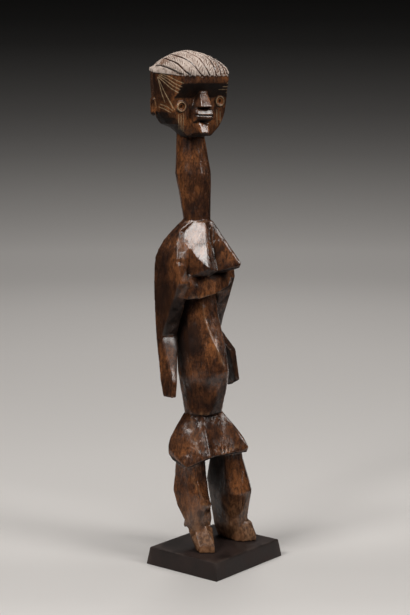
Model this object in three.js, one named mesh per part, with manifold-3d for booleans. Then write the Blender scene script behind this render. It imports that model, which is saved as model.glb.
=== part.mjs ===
// A standing female figure carved from one billet of dark wood, on a low painted wooden plinth.
// Millimetres, +Z up. The origin is the centre of the plinth's underside and the figure looks along -Y.
// The carver worked in flat adze cuts, so each member is a loft of a few faceted sections or the hull of
// a few named corners, and all of them are joined into one solid.
import * as THREE from "three";
import { ConvexGeometry } from "three/addons/geometries/ConvexGeometry.js";
import { mergeVertices } from "three/addons/utils/BufferGeometryUtils.js";
import Module from "manifold-3d";

const wasm = await Module();
wasm.setup();

// Driving dimensions of the plinth
const PLINTH_WIDTH = 104;
const PLINTH_DEPTH = 87;
const PLINTH_HEIGHT = 18;
const PLINTH_BATTER = 2.6;
const PLINTH_ARRIS = 0.8;

// Driving heights of the figure, measured up from the soles
const CROWN = 503;
const HAIRLINE = 477.5;
const BROW = 470;
const EYE = 452;
const CHIN = 420;
const NECK_BULGE = 380;
const NECK_BASE = 335;
const BREAST_TIP = 289;
const LEDGE = 262;
const ELBOW = 217;
const NAVEL = 183;
const HAND_END = 158;
const WAIST = 138.5;
const HEM = 94;
const ANKLE = 30;

// Driving widths
const SHOULDER_REACH = 38; // from the spine to the outside of the upper arm
const HAND_REACH = 47;

// The partings between the rows of hair, sideways from the middle of the head. The near rows are broad.
const PARTINGS = [-18, -6.3, 4.7, 8.3, 13.4, 17, 20.5, 24.5, 29.5];
const PARTING_WIDTH = 1.2;
const HAIR_DEPTH = 1.1;
const RIM_START = 1; // height above the hairline where the braid along each temple begins
const RIM_SLOPE = 0.175; // that braid widens towards the back
const NAPE_SLOPE = 0.09; // rise of the hairline towards the nape
const HEAD_FRONT = -30; // where that rise begins, in the head's own frame
const EYE_RING = 5.1;
const EYE_PIT = 3.7;
const EYE_DEPTH = 6.8;

// The spine leans back from the feet to the head.
const SPINE = -3;
const CHEST_Y = 23.5;
const HEAD = { x: -6, y: 31.7 };

// The figure stands a little turned on its plinth, and the head is turned further the same way.
const FIGURE_TURN = THREE.MathUtils.degToRad(-8);
const HEAD_TURN = THREE.MathUtils.degToRad(-12);
const SEAT_GAP = 0.3;

const CORNER_SHARE = 0.36; // the most of a section's side that a cut corner may take
const WELD = 1e-3;

const NEAR = -1; // the figure's right side, at -X
const FAR = 1; // its left side

// A closed skin over a stack of rings that all have the same number of points.
function skin(rings) {
  const count = rings[0].length;
  const positions = rings.flat().flatMap((p) => [p.x, p.y, p.z]);
  const index = [];
  for (let r = 0; r + 1 < rings.length; r += 1) {
    for (let i = 0; i < count; i += 1) {
      const a = r * count + i;
      const b = r * count + ((i + 1) % count);
      index.push(a, b, b + count, a, b + count, a + count);
    }
  }
  for (const [level, flip] of [[0, true], [rings.length - 1, false]]) {
    const centre = positions.length / 3;
    const middle = rings[level].reduce((sum, p) => sum.add(p), new THREE.Vector3()).divideScalar(count);
    positions.push(middle.x, middle.y, middle.z);
    for (let i = 0; i < count; i += 1) {
      const a = level * count + i;
      const b = level * count + ((i + 1) % count);
      index.push(...(flip ? [centre, b, a] : [centre, a, b]));
    }
  }
  const geometry = new THREE.BufferGeometry();
  geometry.setAttribute("position", new THREE.Float32BufferAttribute(positions, 3));
  geometry.setIndex(index);
  return geometry;
}

// A section given by the corners of its right half, front to back, and mirrored about x.
function mirrored(z, x, half) {
  const right = half.map(([px, py]) => new THREE.Vector3(x + px, py, z));
  const left = half.map(([px, py]) => new THREE.Vector3(x - px, py, z)).reverse();
  return [...right, ...left];
}

// An oblong section with its corners cut off.
function oblong({ z, left, right, front, back, cut = 3 }) {
  const cx = Math.min(cut, (right - left) * CORNER_SHARE);
  const cy = Math.min(cut, (back - front) * CORNER_SHARE);
  return [
    [left + cx, front], [right - cx, front], [right, front + cy], [right, back - cy],
    [right - cx, back], [left + cx, back], [left, back - cy], [left, front + cy],
  ].map(([x, y]) => new THREE.Vector3(x, y, z));
}

// A regular section with its corners on an ellipse.
function polygon({ z, x, y, side, depth, corners = 12 }) {
  return Array.from({ length: corners }, (_, i) => {
    const angle = ((i + 0.5) / corners) * 2 * Math.PI;
    return new THREE.Vector3(x + side * Math.cos(angle), y + depth * Math.sin(angle), z);
  });
}

// three.js geometry to a manifold-3d solid, and back.
function solid(geometry) {
  const bare = new THREE.BufferGeometry();
  const source = geometry.index ? geometry.toNonIndexed() : geometry;
  bare.setAttribute("position", source.getAttribute("position"));
  const merged = mergeVertices(bare, WELD);
  return new wasm.Manifold(
    new wasm.Mesh({
      numProp: 3,
      vertProperties: merged.attributes.position.array,
      triVerts: new Uint32Array(merged.index.array),
    }),
  );
}

function geometryOf(body) {
  const mesh = body.getMesh();
  const geometry = new THREE.BufferGeometry();
  geometry.setAttribute("position", new THREE.BufferAttribute(mesh.vertProperties, 3));
  geometry.setIndex(new THREE.BufferAttribute(mesh.triVerts, 1));
  return geometry;
}

const hull = (corners) => solid(new ConvexGeometry(corners.map((c) => new THREE.Vector3(...c))));
const loft = (rings) => solid(skin(rings));
const join = (bodies) => bodies.reduce((whole, body) => whole.add(body));

// The long neck: two faceted cones that meet in a raised edge, on a small step at the shoulders.
function neck() {
  return loft([
    polygon({ z: NECK_BASE - 8, x: SPINE, y: CHEST_Y, side: 14, depth: 14 }),
    polygon({ z: NECK_BASE, x: SPINE, y: CHEST_Y, side: 13.8, depth: 13.8 }),
    polygon({ z: NECK_BASE + 20, x: SPINE - 0.6, y: CHEST_Y + 1.6, side: 15.4, depth: 16 }),
    polygon({ z: NECK_BULGE, x: SPINE - 1.5, y: CHEST_Y + 4, side: 17.5, depth: 18.8 }),
    polygon({ z: NECK_BULGE + 10, x: SPINE - 1.5, y: CHEST_Y + 4.8, side: 16.6, depth: 17.4 }),
    polygon({ z: NECK_BULGE + 44, x: SPINE - 3, y: CHEST_Y + 7, side: 13.4, depth: 13.6 }),
  ]);
}

// The trunk. The flat of the belly narrows downwards and comes forward to a point at the navel.
function trunk() {
  const middle = SPINE + 0.5;
  return loft([
    mirrored(WAIST - 2, middle, [[7.5, -3.5], [14.5, 2], [18.5, 12], [17, 24], [9, 32]]),
    mirrored(160, middle, [[6.5, -12], [14, -4], [21, 10], [19, 28], [10, 36.5]]),
    mirrored(NAVEL - 7, middle, [[2.5, -18], [13.5, -9], [22.5, 9], [20.5, 30], [11, 39]]),
    mirrored(NAVEL, middle, [[1.5, -20], [12.5, -10.5], [22.5, 8], [20.5, 31], [11, 39.5]]),
    mirrored(203, middle, [[5, -13.5], [15.5, -2.5], [23, 11], [21, 31.5], [11, 39.5]]),
    mirrored(ELBOW, middle, [[7.7, -6], [16.5, 3.5], [21.5, 14], [21, 32], [11, 40]]),
    mirrored(235, middle, [[9.2, 2], [16, 8.5], [20, 17], [19.5, 33], [11, 39]]),
    mirrored(LEDGE, middle, [[9.5, 8.5], [16, 14], [19.5, 20], [19, 33], [11, 38]]),
    mirrored(285, middle, [[13.5, 12], [19, 14], [24, 20], [24, 34], [11, 39]]),
  ]);
}

// The band of ribs under the breasts flares down to a ledge that overhangs the belly.
function ribs() {
  return hull([
    [SPINE - 30, 8, LEDGE - 6], [SPINE - 21, -1, LEDGE - 5.5], [SPINE - 4, -7.5, LEDGE - 1],
    [SPINE + 16, -5, LEDGE + 4], [SPINE + 31, 5, LEDGE + 7],
    [SPINE - 30, 38, LEDGE - 2], [SPINE + 30, 38, LEDGE + 3],
    [SPINE - 26, 1.5, LEDGE + 7], [SPINE - 3, -5.5, LEDGE + 10], [SPINE + 25, -0.5, LEDGE + 14],
    [SPINE - 27, 7, 280], [SPINE - 12, 0.5, 279.5], [SPINE + 12, 1.5, 282], [SPINE + 27, 7, 284],
    [SPINE - 30, 39.5, 286], [SPINE + 30, 39.5, 286],
  ]);
}

// The shoulders slope straight from the neck to the arms.
function shoulders() {
  return loft([
    mirrored(277, SPINE, [[14, 10], [28, 9.5], [35.5, 13], [36, 43.5], [14, 40]]),
    mirrored(296, SPINE, [[14, 8], [30, 9.5], [37.4, 11.5], [37.8, 45.2], [16, 45]]),
    mirrored(304, SPINE, [[12, 8], [28, 11], [35.2, 14], [35.4, 43.4], [15, 44]]),
    mirrored(314, SPINE, [[10, 8], [22, 18.8], [30.4, 18.8], [30.4, 40], [13, 41.5]]),
    mirrored(323, SPINE, [[8, 9], [19.3, 21.8], [23.6, 24], [22.8, 36.5], [11, 39]]),
    mirrored(NECK_BASE - 1.5, SPINE, [[5.5, 9], [11.5, 16], [15.4, 25], [13.5, 31], [7.5, 36.5]]),
  ]);
}

// A breast is a wedge whose ridge runs straight from the neck to the tip. Its flat upper plane reaches from
// the collar to an edge between shoulder and tip, with a plane that faces outwards below it. The near tip is
// worn off, and the two wedges meet in a shallow valley.
function breast(side) {
  const x = (lateral) => SPINE + side * lateral;
  const tip = side === NEAR
    ? [[x(6.1), 4.2, NECK_BASE - 2], [x(20.8), -16.5, BREAST_TIP], [x(16), -17, BREAST_TIP - 1.5],
      [x(18.5), -14.5, BREAST_TIP - 8.5]]
    : [[x(8), 8.5, NECK_BASE - 2], [x(20.4), -20, BREAST_TIP + 2.5], [x(18), -20, BREAST_TIP + 2],
      [x(19), -19.5, BREAST_TIP - 2.5]];
  return hull([
    [x(15.4), 25, NECK_BASE - 2], [x(2), 11, NECK_BASE - 2], [x(19.3), 21.8, 323], [x(21.5), 18.5, 316],
    [x(22.4), 9.8, 307], [x(22.8), 0, 298.8], [x(24), 13, 297], [x(25), 9, 279.5], [x(24), 16, 284],
    [x(-1), 16, 284], [x(-1), 9, 279.5], [x(-1), -6, 283.5], [x(-0.5), 5.5, 312], ...tip,
  ]);
}

// An arm is a slab that hangs clear of the trunk. Its front edge runs back to a notch at the elbow and
// then forward again down the forearm to a cut-off hand.
function arm(side) {
  const near = side === NEAR;
  // Reach is measured to the outer face, and the front edge can slant inwards across the thickness.
  const slab = (z, reach, thick, outerFront, innerFront, back) => {
    const x = (inset) => SPINE + side * (reach - inset);
    const half = [
      [x(0), outerFront + 0.8], [x(0), back - 1], [x(1), back], [x(thick - 1.5), back],
      [x(thick), back - 1.5], [x(thick), innerFront + 1], [x(thick - 1), innerFront], [x(0.8), outerFront],
    ];
    const points = half.map(([px, py]) => new THREE.Vector3(px, py, z));
    return side === NEAR ? points.reverse() : points;
  };
  const upper = loft([
    slab(ELBOW, 41.3, 17.5, 31, 27, 40.5),
    slab(230, SHOULDER_REACH + 2.8, 16.3, 26.4, 22.3, 42.2),
    slab(245, SHOULDER_REACH + 2.4, near ? 14.2 : 17.2, 19.7, near ? 14.7 : 18.7, 43.6),
    slab(258, SHOULDER_REACH + 2, near ? 12.5 : 18.5, 14, near ? 8.5 : 16, 44.8),
    slab(273, SHOULDER_REACH + 1.2, 11.5, 7.6, 4.8, 45.8),
    slab(290, SHOULDER_REACH + 0.5, 12, 9.5, 9, 45.8),
    slab(297, SHOULDER_REACH - 0.7, 13, 12, 11, 45),
    slab(305, SHOULDER_REACH - 4, 12, 15.5, 14, 42),
    slab(312, SHOULDER_REACH - 9, 10, 20, 19, 38),
  ]);
  const cornerZ = near ? 174 : 197;
  const splay = 0.1; // the forearm leans outwards by this much of its length
  const lower = loft([
    slab(HAND_END, HAND_REACH, 5.5, near ? 9 : 7, near ? 8.6 : 6, 23.5),
    slab(cornerZ, HAND_REACH - (cornerZ - HAND_END) * splay, near ? 6.5 : 9, 10.5, 10, near ? 29.5 : 35),
    slab(ELBOW - 1.5, 41.4, 18, 30.2, 26.2, 40.3),
    slab(ELBOW + 8, 40.4, 14, 32, 31, 39),
  ]);
  const shorter = hull([
    [30, 0, 150], [52, 0, 150], [30, 30, 150], [52, 30, 150],
    [30, 4, 167], [52, 4, 167], [30, 26, 155], [52, 26, 155],
  ]);
  const whole = upper.add(lower);
  return near ? whole : whole.subtract(shorter);
}

// The hips: a faceted skirt of two thigh lobes, with ridges that run forward from the waist to the hem.
function hips() {
  const near = hull([
    [-19.5, 15.5, WAIST - 1], [-14, 4.5, WAIST - 1], [-17, 26, WAIST - 1], [-8, 32, WAIST - 1], [-4, 6, WAIST],
    [-21.5, 14, 133], [-20.5, -2.2, 118.8], [-21, -11.6, 107.9], [-23.1, -17.5, 97.5], [-20, -17.5, 96.5],
    [-28.7, -5, 98.5], [-31, 12, 110], [-35, 10, 99], [-37, 2.5, 85], [-36, 22, 89],
    [-23.5, 27, 127.7], [-31.3, 27, 120.8], [-37.3, 27, 112.6], [-40.1, 27, 104.2], [-39.3, 27, 96],
    [-34, 27, 88.5], [-29, 36, 104], [-15, 40, 106], [-26, 33, 91], [-6, 36, 93], [-4, -9, HEM + 1],
  ]);
  const far = hull([
    [16.5, 13, WAIST - 1], [11, 1.5, WAIST - 1], [14, 26, WAIST - 1], [5, 32, WAIST - 1], [1, 6, WAIST],
    [15.5, -6, 128.2], [20.8, -12, 119.2], [25.2, -18.5, 109.1], [26, -23.5, 101.3], [25.3, -21.5, 95.5],
    [24, 8, 127], [30, 25, 117], [33, 4, 110], [36.5, 25, 103], [35.5, 4, 101], [33.5, 22, 91], [34, 2, 90],
    [19, -20, HEM + 2], [27, 36, 104], [12, 40, 106], [24, 33, 92], [3, 36, 93], [0, -9, HEM + 1],
  ]);
  const panel = hull([
    [-14, 3.5, WAIST], [10, 2, WAIST], [-10, 28, WAIST], [7, 28, WAIST],
    [-20, -13, HEM + 2], [20, -18.5, HEM + 3], [-12, 34, HEM + 3], [10, 34, HEM + 3], [-2, -9, HEM - 1],
  ]);
  return join([near, far, panel]);
}

// A leg is a thick post, widest at the knee, that runs down into a foot turned outwards.
function leg(side) {
  const post = (z, x, y, half, depth, cut = 7) =>
    oblong({ z, left: x - half, right: x + half, front: y - depth, back: y + depth, cut });
  const rings = side === NEAR
    ? [post(12, -21, 2, 9.5, 9, 4), post(ANKLE - 1, -20.2, 3.2, 12.8, 12.2, 5.5),
      post(43, -21.8, 8.5, 12.8, 17.5, 6.5), post(58.5, -22.2, 11.5, 13.8, 19),
      post(74, -22, 12.8, 12.5, 16.8), post(97, -21.2, 13, 11.8, 15, 6)]
    : [post(0, 29, 5, 11, 15), post(12.5, 28.5, 5.5, 13, 18.5), post(24, 28, 6.3, 13, 20),
      post(39, 27, 5.4, 14.5, 21.5), post(52, 26, 4.4, 15.5, 23.5), post(62, 25, 6.3, 15, 23),
      post(85, 23, 6.6, 13, 17, 6), post(104, 22.5, 7, 12, 15, 6)];
  return loft(rings);
}

// The front of the near leg is cut back to planes that face inwards, above and below a blunt knee.
function kneeCuts() {
  const clear = -40; // well in front of the leg
  const forward = (points, drop) => hull([...points, ...points.map(([x, , z]) => [x, clear, z - drop])]);
  const thigh = forward([[-34, -2.5, 100], [-33, -4, 80], [-22, -8.2, 51], [-7, 0, 51], [-7, 6, 100]], 28);
  const shin = forward(
    [[-25, -9.2, 38], [-7, -3.5, 38], [-7, -3.5, 24], [-20, -9.2, 22], [-27, -9.2, 30]], -20,
  );
  return join([thigh, shin]);
}

// The knee itself stands out a little between the two.
function knee() {
  return hull([
    [-28, -8.6, 47], [-21, -11, 44], [-12.5, -8.6, 44.5], [-9.4, -4.5, 45], [-25, -8.4, 51], [-10, -1.5, 51],
    [-24, -8.8, 37], [-13, -5.8, 37.5], [-10, -3.5, 38], [-12, 4, 51], [-24, 4, 51], [-12, 4, 38], [-24, 4, 38],
  ]);
}

// A foot is a wedge that runs down to blunt toes.
function foot(side) {
  return side === NEAR
    ? hull([
      [-24.7, -26.6, 0], [-35.8, -16.3, 0], [-23.5, -25.1, 6], [-34.9, -14.6, 6], [-11, 4, 0], [-31, 2, 0],
      [-12, -9.4, 20], [-22, -8.8, 24], [-31, -4, 20], [-10, 6, 20], [-32, 8, 21], [-20, 12, 20],
    ])
    : hull([
      [18.8, -11.5, 0], [22.5, -18.5, 0], [35.5, -25.3, 0], [38.5, -23, 4], [37.5, -22.5, 8.5],
      [23.5, -17, 8], [20.5, -9.7, 8.5], [21, 15, 0], [42.5, 0, 0], [38, 20, 0], [24, -11, 20],
      [36.2, -17.5, 19], [40.6, -5, 20], [22, 16, 20],
    ]);
}

// The near heel is rotted away underneath, up to a ragged lump at the back of the ankle.
function heel() {
  const lump = hull([
    [-33, 11, 20], [-30, 15, 21], [-24, 12, 19], [-29, 14, 29], [-31, 9, 29], [-22, 8, 30], [-24, 6, 18],
  ]);
  const rot = hull([
    [-52, -22, -2], [11, 20, -2], [-52, 45, -2], [11, 45, -2],
    [-52, -6.4, 21.5], [11, 35.6, 21.5], [-52, 45, 19], [11, 45, 17],
  ]);
  return { lump, rot };
}

// The hairline rises towards the nape.
const napeRise = (y) => Math.max(y - HEAD_FRONT, 0) * NAPE_SLOPE;

// The head is drawn in its own frame: x sideways, y negative to the front, z up from the soles.
function skull() {
  const level = (z, front, brow, side, back) => mirrored(z, 0, [front, brow, side[0], side[1], back]);
  const follow = (ring) => ring.map((p) => new THREE.Vector3(p.x, p.y, p.z + napeRise(p.y)));
  return loft([
    level(CHIN - 2, [6, -20], [14.5, -19], [[13, -6], [9, 3]], [5, 6]),
    level(CHIN + 6, [8, -22], [22, -20.5], [[20, -4], [16, 10]], [9, 14]),
    level(CHIN + 10, [9, -22.5], [24.5, -21], [[25.5, 0], [23, 19]], [11, 24]),
    level(CHIN + 16, [9, -23], [27, -21.7], [[29.5, 3], [26, 21]], [12, 29]),
    level(CHIN + 22, [9, -23], [29, -22], [[32.5, 6], [26.5, 25]], [13, 32]),
    level(EYE + 4, [9, -23], [30.2, -23.5], [[34.5, 8], [27, 29.5]], [13, 35]),
    level(BROW, [10, -34], [26.5, -32.5], [[35.4, 8], [27.6, 30.5]], [13, 37]),
    follow(level(HAIRLINE, [10, -34.2], [26.5, -33], [[35.6, 8], [27.8, 30.5]], [13, 37.4])),
    follow(level(HAIRLINE + 2, [10, -30], [23, -29], [[32, 8], [25, 28]], [12, 34])),
  ]);
}

// The edge of the hair: the corners of its right half, front to back.
const CAP_OUTLINE = [[10, -34], [26.5, -32.6], [35.8, 8], [28.2, 30.5], [13, 37.4]];

// The dome of hair, made smaller all round by an inset for the floor of its grooves.
function cap(inset = 0) {
  const sunk = inset > 0 ? 12 : 0; // the inner dome starts lower, so that the grooves run out at the edge
  const profile = [
    [0, 1.02], [4, 1.02], [9, 0.95], [15, 0.78], [20, 0.56], [23.5, 0.32], [CROWN - HAIRLINE, 0.1],
  ];
  return loft(profile.map(([rise, scale], i) => {
    const reach = (length) => length * scale - Math.sign(length) * inset * (0.4 + 0.6 * scale);
    const half = CAP_OUTLINE.map(([x, y]) => [Math.max(reach(x), 0.6), reach(y - 2) + 2 + (1 - scale) * 3]);
    const base = HAIRLINE - inset + rise - (i === 0 ? sunk : 0);
    return mirrored(0, 0, half).map((p) => new THREE.Vector3(p.x, p.y, base + (i < 2 ? napeRise(p.y) : 0)));
  }));
}

// Rows of hair run from the brow to the nape, and a narrow braid edges each temple. The saws that cut their
// partings are larger than the head all round, and the dome's inset limits how deep they go.
function hair() {
  const saw = { width: 90, length: 100, height: 40 };
  const rimStart = -32;
  const rimLength = 50;
  const rows = PARTINGS.map((x) => new THREE.BoxGeometry(PARTING_WIDTH, saw.length, saw.height)
    .translate(x, 0, HAIRLINE + saw.height / 2 + 1));
  const rims = new THREE.BoxGeometry(saw.width, rimLength, PARTING_WIDTH).rotateX(Math.atan(RIM_SLOPE));
  rims.translate(0, rimLength / 2 + rimStart, HAIRLINE + RIM_START + (rimLength / 2) * RIM_SLOPE);
  return cap().subtract(join([...rows, rims].map(solid)).subtract(cap(HAIR_DEPTH)));
}

// The face stands forward of the skull: a wedge of a nose, a muzzle with the slit of the mouth, and a
// pointed chin with a hollow above it.
function face() {
  const nose = hull([
    [-5, -24, 463], [5, -24, 463], [-4, -29, 461], [4, -29, 461],
    [-11, -21, 448], [10, -21, 448], [-6, -36.5, 447], [6, -36.5, 447], [-10, -22, 445], [9, -22, 445],
  ]);
  const muzzle = hull([
    [-12.5, -21, 446], [12, -21, 446], [-9.5, -30.7, 444.8], [9, -30.7, 444.8],
    [-9.5, -33, 439.8], [9, -33, 439.8],
    [-9.5, -31, 434], [9, -31, 434], [-12, -20, 430], [12, -20, 430], [-8, -26, 430], [8, -26, 430],
  ]);
  const chin = hull([
    [-13, -21, 433], [12, -21, 433], [-11, -24.5, 431.8], [-6.5, -28.5, 432], [6, -28.5, 431],
    [-4.5, -30.3, 428], [4.5, -30.3, 427], [-4.8, -32.3, CHIN + 1], [4.5, -32.3, CHIN + 1],
    [-11, -14, CHIN - 1], [11, -14, CHIN - 1],
  ]);
  const slit = hull([
    [-12, -29, 438.4], [14, -29, 438.4],
    [-13, -40, 439.3], [15, -40, 439.3], [-13, -40, 436.9], [15, -40, 436.9],
  ]);
  const hollow = hull([
    [-6, -25, 433.6], [11, -25, 433.6], [10, -25, 428.5], [-6, -38, 434.2], [13, -38, 434.2],
    [-6, -38, 432.2], [5, -38, 426.6], [13, -38, 426],
  ]);
  return join([nose, muzzle, chin]).subtract(hollow).subtract(slit);
}

// A ring-shaped eye with a pit in the middle. The far one sits higher.
function eye(side) {
  const at = side === NEAR ? { x: -22.6, z: EYE - 4.8 } : { x: 21.5, z: EYE + 0.4 };
  const shape = new THREE.Shape().absarc(0, 0, EYE_RING, 0, 2 * Math.PI);
  shape.holes.push(new THREE.Path().absarc(0, 0, EYE_PIT, 0, 2 * Math.PI, true));
  const extrusion = { depth: EYE_DEPTH, bevelEnabled: false, curveSegments: 10 };
  const geometry = new THREE.ExtrudeGeometry(shape, extrusion);
  geometry.rotateX(Math.PI / 2);
  geometry.translate(at.x, -18.4, at.z);
  return solid(geometry);
}

// An ear is a small upright flap at the back of the temple.
function ear(side) {
  const x = (lateral) => side * lateral;
  return hull([
    [x(33), 7, 457], [x(32), 16, 458], [x(37), 9, 454], [x(36.5), 15, 455],
    [x(33), 8, 439], [x(32), 17, 437], [x(36.5), 10, 442], [x(36), 15, 440],
  ]);
}

function head() {
  const body = join([skull(), hair(), face(), eye(NEAR), eye(FAR), ear(NEAR), ear(FAR)]);
  const geometry = geometryOf(body);
  geometry.rotateZ(HEAD_TURN);
  geometry.translate(HEAD.x, HEAD.y, 0);
  return solid(geometry);
}

function figure() {
  const sides = [NEAR, FAR];
  const { lump, rot } = heel();
  return join([
    neck(), trunk(), ribs(), shoulders(), hips(), head(),
    ...sides.map(breast), ...sides.map(arm), leg(FAR), foot(FAR),
    join([leg(NEAR).subtract(kneeCuts()), knee(), foot(NEAR), lump]).subtract(rot),
  ]);
}

// The plinth: a block with battered sides and softened upper edges.
function plinth() {
  const rectangle = (z, halfX, halfY) => [
    [halfX, -halfY], [halfX, halfY], [-halfX, halfY], [-halfX, -halfY],
  ].map(([x, y]) => new THREE.Vector3(x, y, z));
  const halfX = PLINTH_WIDTH / 2;
  const halfY = PLINTH_DEPTH / 2;
  return skin([
    rectangle(0, halfX + PLINTH_BATTER, halfY + PLINTH_BATTER),
    rectangle(PLINTH_HEIGHT - PLINTH_ARRIS, halfX, halfY),
    rectangle(PLINTH_HEIGHT, halfX - PLINTH_ARRIS, halfY - PLINTH_ARRIS),
  ]);
}

const WOOD = new THREE.MeshStandardMaterial({ color: 0x4a2a18, roughness: 0.42, metalness: 0 });
const PAINT = new THREE.MeshStandardMaterial({ color: 0x231b19, roughness: 0.6, metalness: 0 });

const object = new THREE.Group();

const plinthMesh = new THREE.Mesh(plinth(), PAINT);
plinthMesh.name = "plinth";
object.add(plinthMesh);

const figureMesh = new THREE.Mesh(geometryOf(figure()), WOOD);
figureMesh.name = "figure";
figureMesh.rotation.z = FIGURE_TURN;
figureMesh.position.z = PLINTH_HEIGHT + SEAT_GAP;
object.add(figureMesh);

export default object;
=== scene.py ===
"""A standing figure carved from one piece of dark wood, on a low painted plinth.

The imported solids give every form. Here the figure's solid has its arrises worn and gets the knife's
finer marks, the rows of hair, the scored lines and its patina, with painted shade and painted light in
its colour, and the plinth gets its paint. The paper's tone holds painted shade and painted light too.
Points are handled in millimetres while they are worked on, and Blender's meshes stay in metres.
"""

import logging
import math
from collections.abc import Iterable
from dataclasses import dataclass
from enum import Enum

import bmesh
import bpy
import numpy as np
from mathutils import Matrix, Vector
from mathutils.bvhtree import BVHTree
from mathutils.kdtree import KDTree


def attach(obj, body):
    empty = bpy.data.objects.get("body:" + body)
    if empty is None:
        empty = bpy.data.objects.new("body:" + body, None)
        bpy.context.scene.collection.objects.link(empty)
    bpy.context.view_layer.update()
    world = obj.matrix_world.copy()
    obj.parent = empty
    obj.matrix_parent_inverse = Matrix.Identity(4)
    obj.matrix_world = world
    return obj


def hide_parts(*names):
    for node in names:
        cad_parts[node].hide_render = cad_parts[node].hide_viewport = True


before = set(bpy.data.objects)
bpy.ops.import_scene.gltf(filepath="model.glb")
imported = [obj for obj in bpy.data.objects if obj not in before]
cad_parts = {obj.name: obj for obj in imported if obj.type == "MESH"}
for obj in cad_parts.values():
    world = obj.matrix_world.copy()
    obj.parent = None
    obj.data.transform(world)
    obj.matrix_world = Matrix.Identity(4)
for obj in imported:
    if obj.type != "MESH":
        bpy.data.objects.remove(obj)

LOG = logging.getLogger("carved_figure")
MM = 0.001
WELD = 0.001  # mm between corners that are really one
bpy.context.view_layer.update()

Colour = tuple[float, float, float]
Line = list[tuple[float, float]]
Path = list[np.ndarray]
Rows = tuple[tuple[float, ...], ...]


@dataclass(frozen=True)
class Setting:
    """A frame that part of the carving is drawn in, turned about the upright axis.

    Attributes:
        turn: Degrees by which this frame is turned inside the outer one.
        at: Where this frame's origin stands in the outer one, in mm.
        outer: The frame around this one, or None for the row frame.
    """

    turn: float
    at: tuple[float, float, float]
    outer: "Setting | None" = None

    def inward(self, points: np.ndarray) -> np.ndarray:
        """Takes points in mm, one row each, from the row frame into this one."""
        points = points if self.outer is None else self.outer.inward(points)
        return (points - np.array(self.at)) @ self._turned(self.turn)

    def outward(self, points: np.ndarray) -> np.ndarray:
        """Takes points in mm, one row each, from this frame out into the row frame."""
        points = points @ self._turned(self.turn).T + np.array(self.at)
        return points if self.outer is None else self.outer.outward(points)

    @staticmethod
    def _turned(degrees: float) -> np.ndarray:
        """The rotation matrix about Z."""
        c, s = math.cos(math.radians(degrees)), math.sin(math.radians(degrees))
        return np.array([[c, -s, 0.0], [s, c, 0.0], [0.0, 0.0, 1.0]])


BODY = Setting(turn=-8.0, at=(0.0, 0.0, 18.3))
HEAD = Setting(turn=-12.0, at=(-6.0, 31.7, 0.0), outer=BODY)
# Middle of the hair in the head's frame, in mm: what the cuts across its rows face away from
HAIR_MIDDLE = (0.0, 2.0, 462.0)
# The level line that the rows of hair turn round over the crown: its depth and height there
HAIR_AXIS = (2.0, 472.0)


def smooth(value: np.ndarray, low: float, high: float) -> np.ndarray:
    """A smooth step from 0 at low to 1 at high, which falls where high lies below low."""
    t = np.clip((value - low) / (high - low), 0.0, 1.0)
    return t * t * (3.0 - 2.0 * t)


def hashed(cells: np.ndarray, seed: int) -> np.ndarray:
    """A repeatable number from 0 to 1 for each cell of a lattice.

    Args:
        cells: Whole-number cell coordinates, one row each.
        seed: Picks another set of numbers.

    Returns:
        One number for each row.
    """
    c = cells.astype(np.int64).astype(np.uint64)
    h = c[:, 0] * np.uint64(374761393) + c[:, 1] * np.uint64(668265263) + c[:, 2] * np.uint64(2246822519)
    h = (h + np.uint64(seed) * np.uint64(3266489917)) & np.uint64(0xFFFFFFFF)
    h = ((h ^ (h >> np.uint64(15))) * np.uint64(2246822519)) & np.uint64(0xFFFFFFFF)
    h = ((h ^ (h >> np.uint64(13))) * np.uint64(3266489917)) & np.uint64(0xFFFFFFFF)
    return ((h ^ (h >> np.uint64(16))) & np.uint64(0xFFFFFF)).astype(float) / float(0xFFFFFF)


def value_noise(points: np.ndarray, size: tuple[float, float, float], seed: int) -> np.ndarray:
    """Smooth noise from -1 to 1.

    Args:
        points: Points in mm, one row each.
        size: Size of the noise's cells along each axis, in mm.
        seed: Picks another noise.

    Returns:
        The noise at each point.
    """
    scaled = points / np.array(size)
    cell = np.floor(scaled)
    part = scaled - cell
    part = part * part * (3.0 - 2.0 * part)
    total = np.zeros(len(points))
    for corner in np.ndindex(2, 2, 2):
        share = np.prod(np.where(np.array(corner) == 1, part, 1.0 - part), axis=1)
        total += share * hashed(cell + np.array(corner), seed)
    return total * 2.0 - 1.0


def knife_planes(points: np.ndarray, size: tuple[float, float, float], seed: int) -> np.ndarray:
    """Small flat cuts that meet in low arrises, each one tilted its own way.

    Args:
        points: Points in mm, one row each.
        size: Size of a cut along each axis, in mm.
        seed: Picks another set of cuts.

    Returns:
        The height of the cut surface at each point, from about -1 to 1.
    """
    scaled = points / np.array(size)
    cell = np.floor(scaled)
    nearest = np.full(len(points), np.inf)
    height = np.zeros(len(points))
    for step in np.ndindex(3, 3, 3):
        other = cell + np.array(step) - 1.0
        jitter = np.stack([hashed(other, seed + k) for k in range(3)], axis=1)
        away = scaled - (other + 0.15 + 0.7 * jitter)
        gap = (away**2).sum(axis=1)
        tilt = np.stack([hashed(other, seed + 7 + k) for k in range(3)], axis=1) * 2.0 - 1.0
        closer = gap < nearest
        height = np.where(closer, (away * tilt).sum(axis=1), height)
        nearest = np.where(closer, gap, nearest)
    return height


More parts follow.
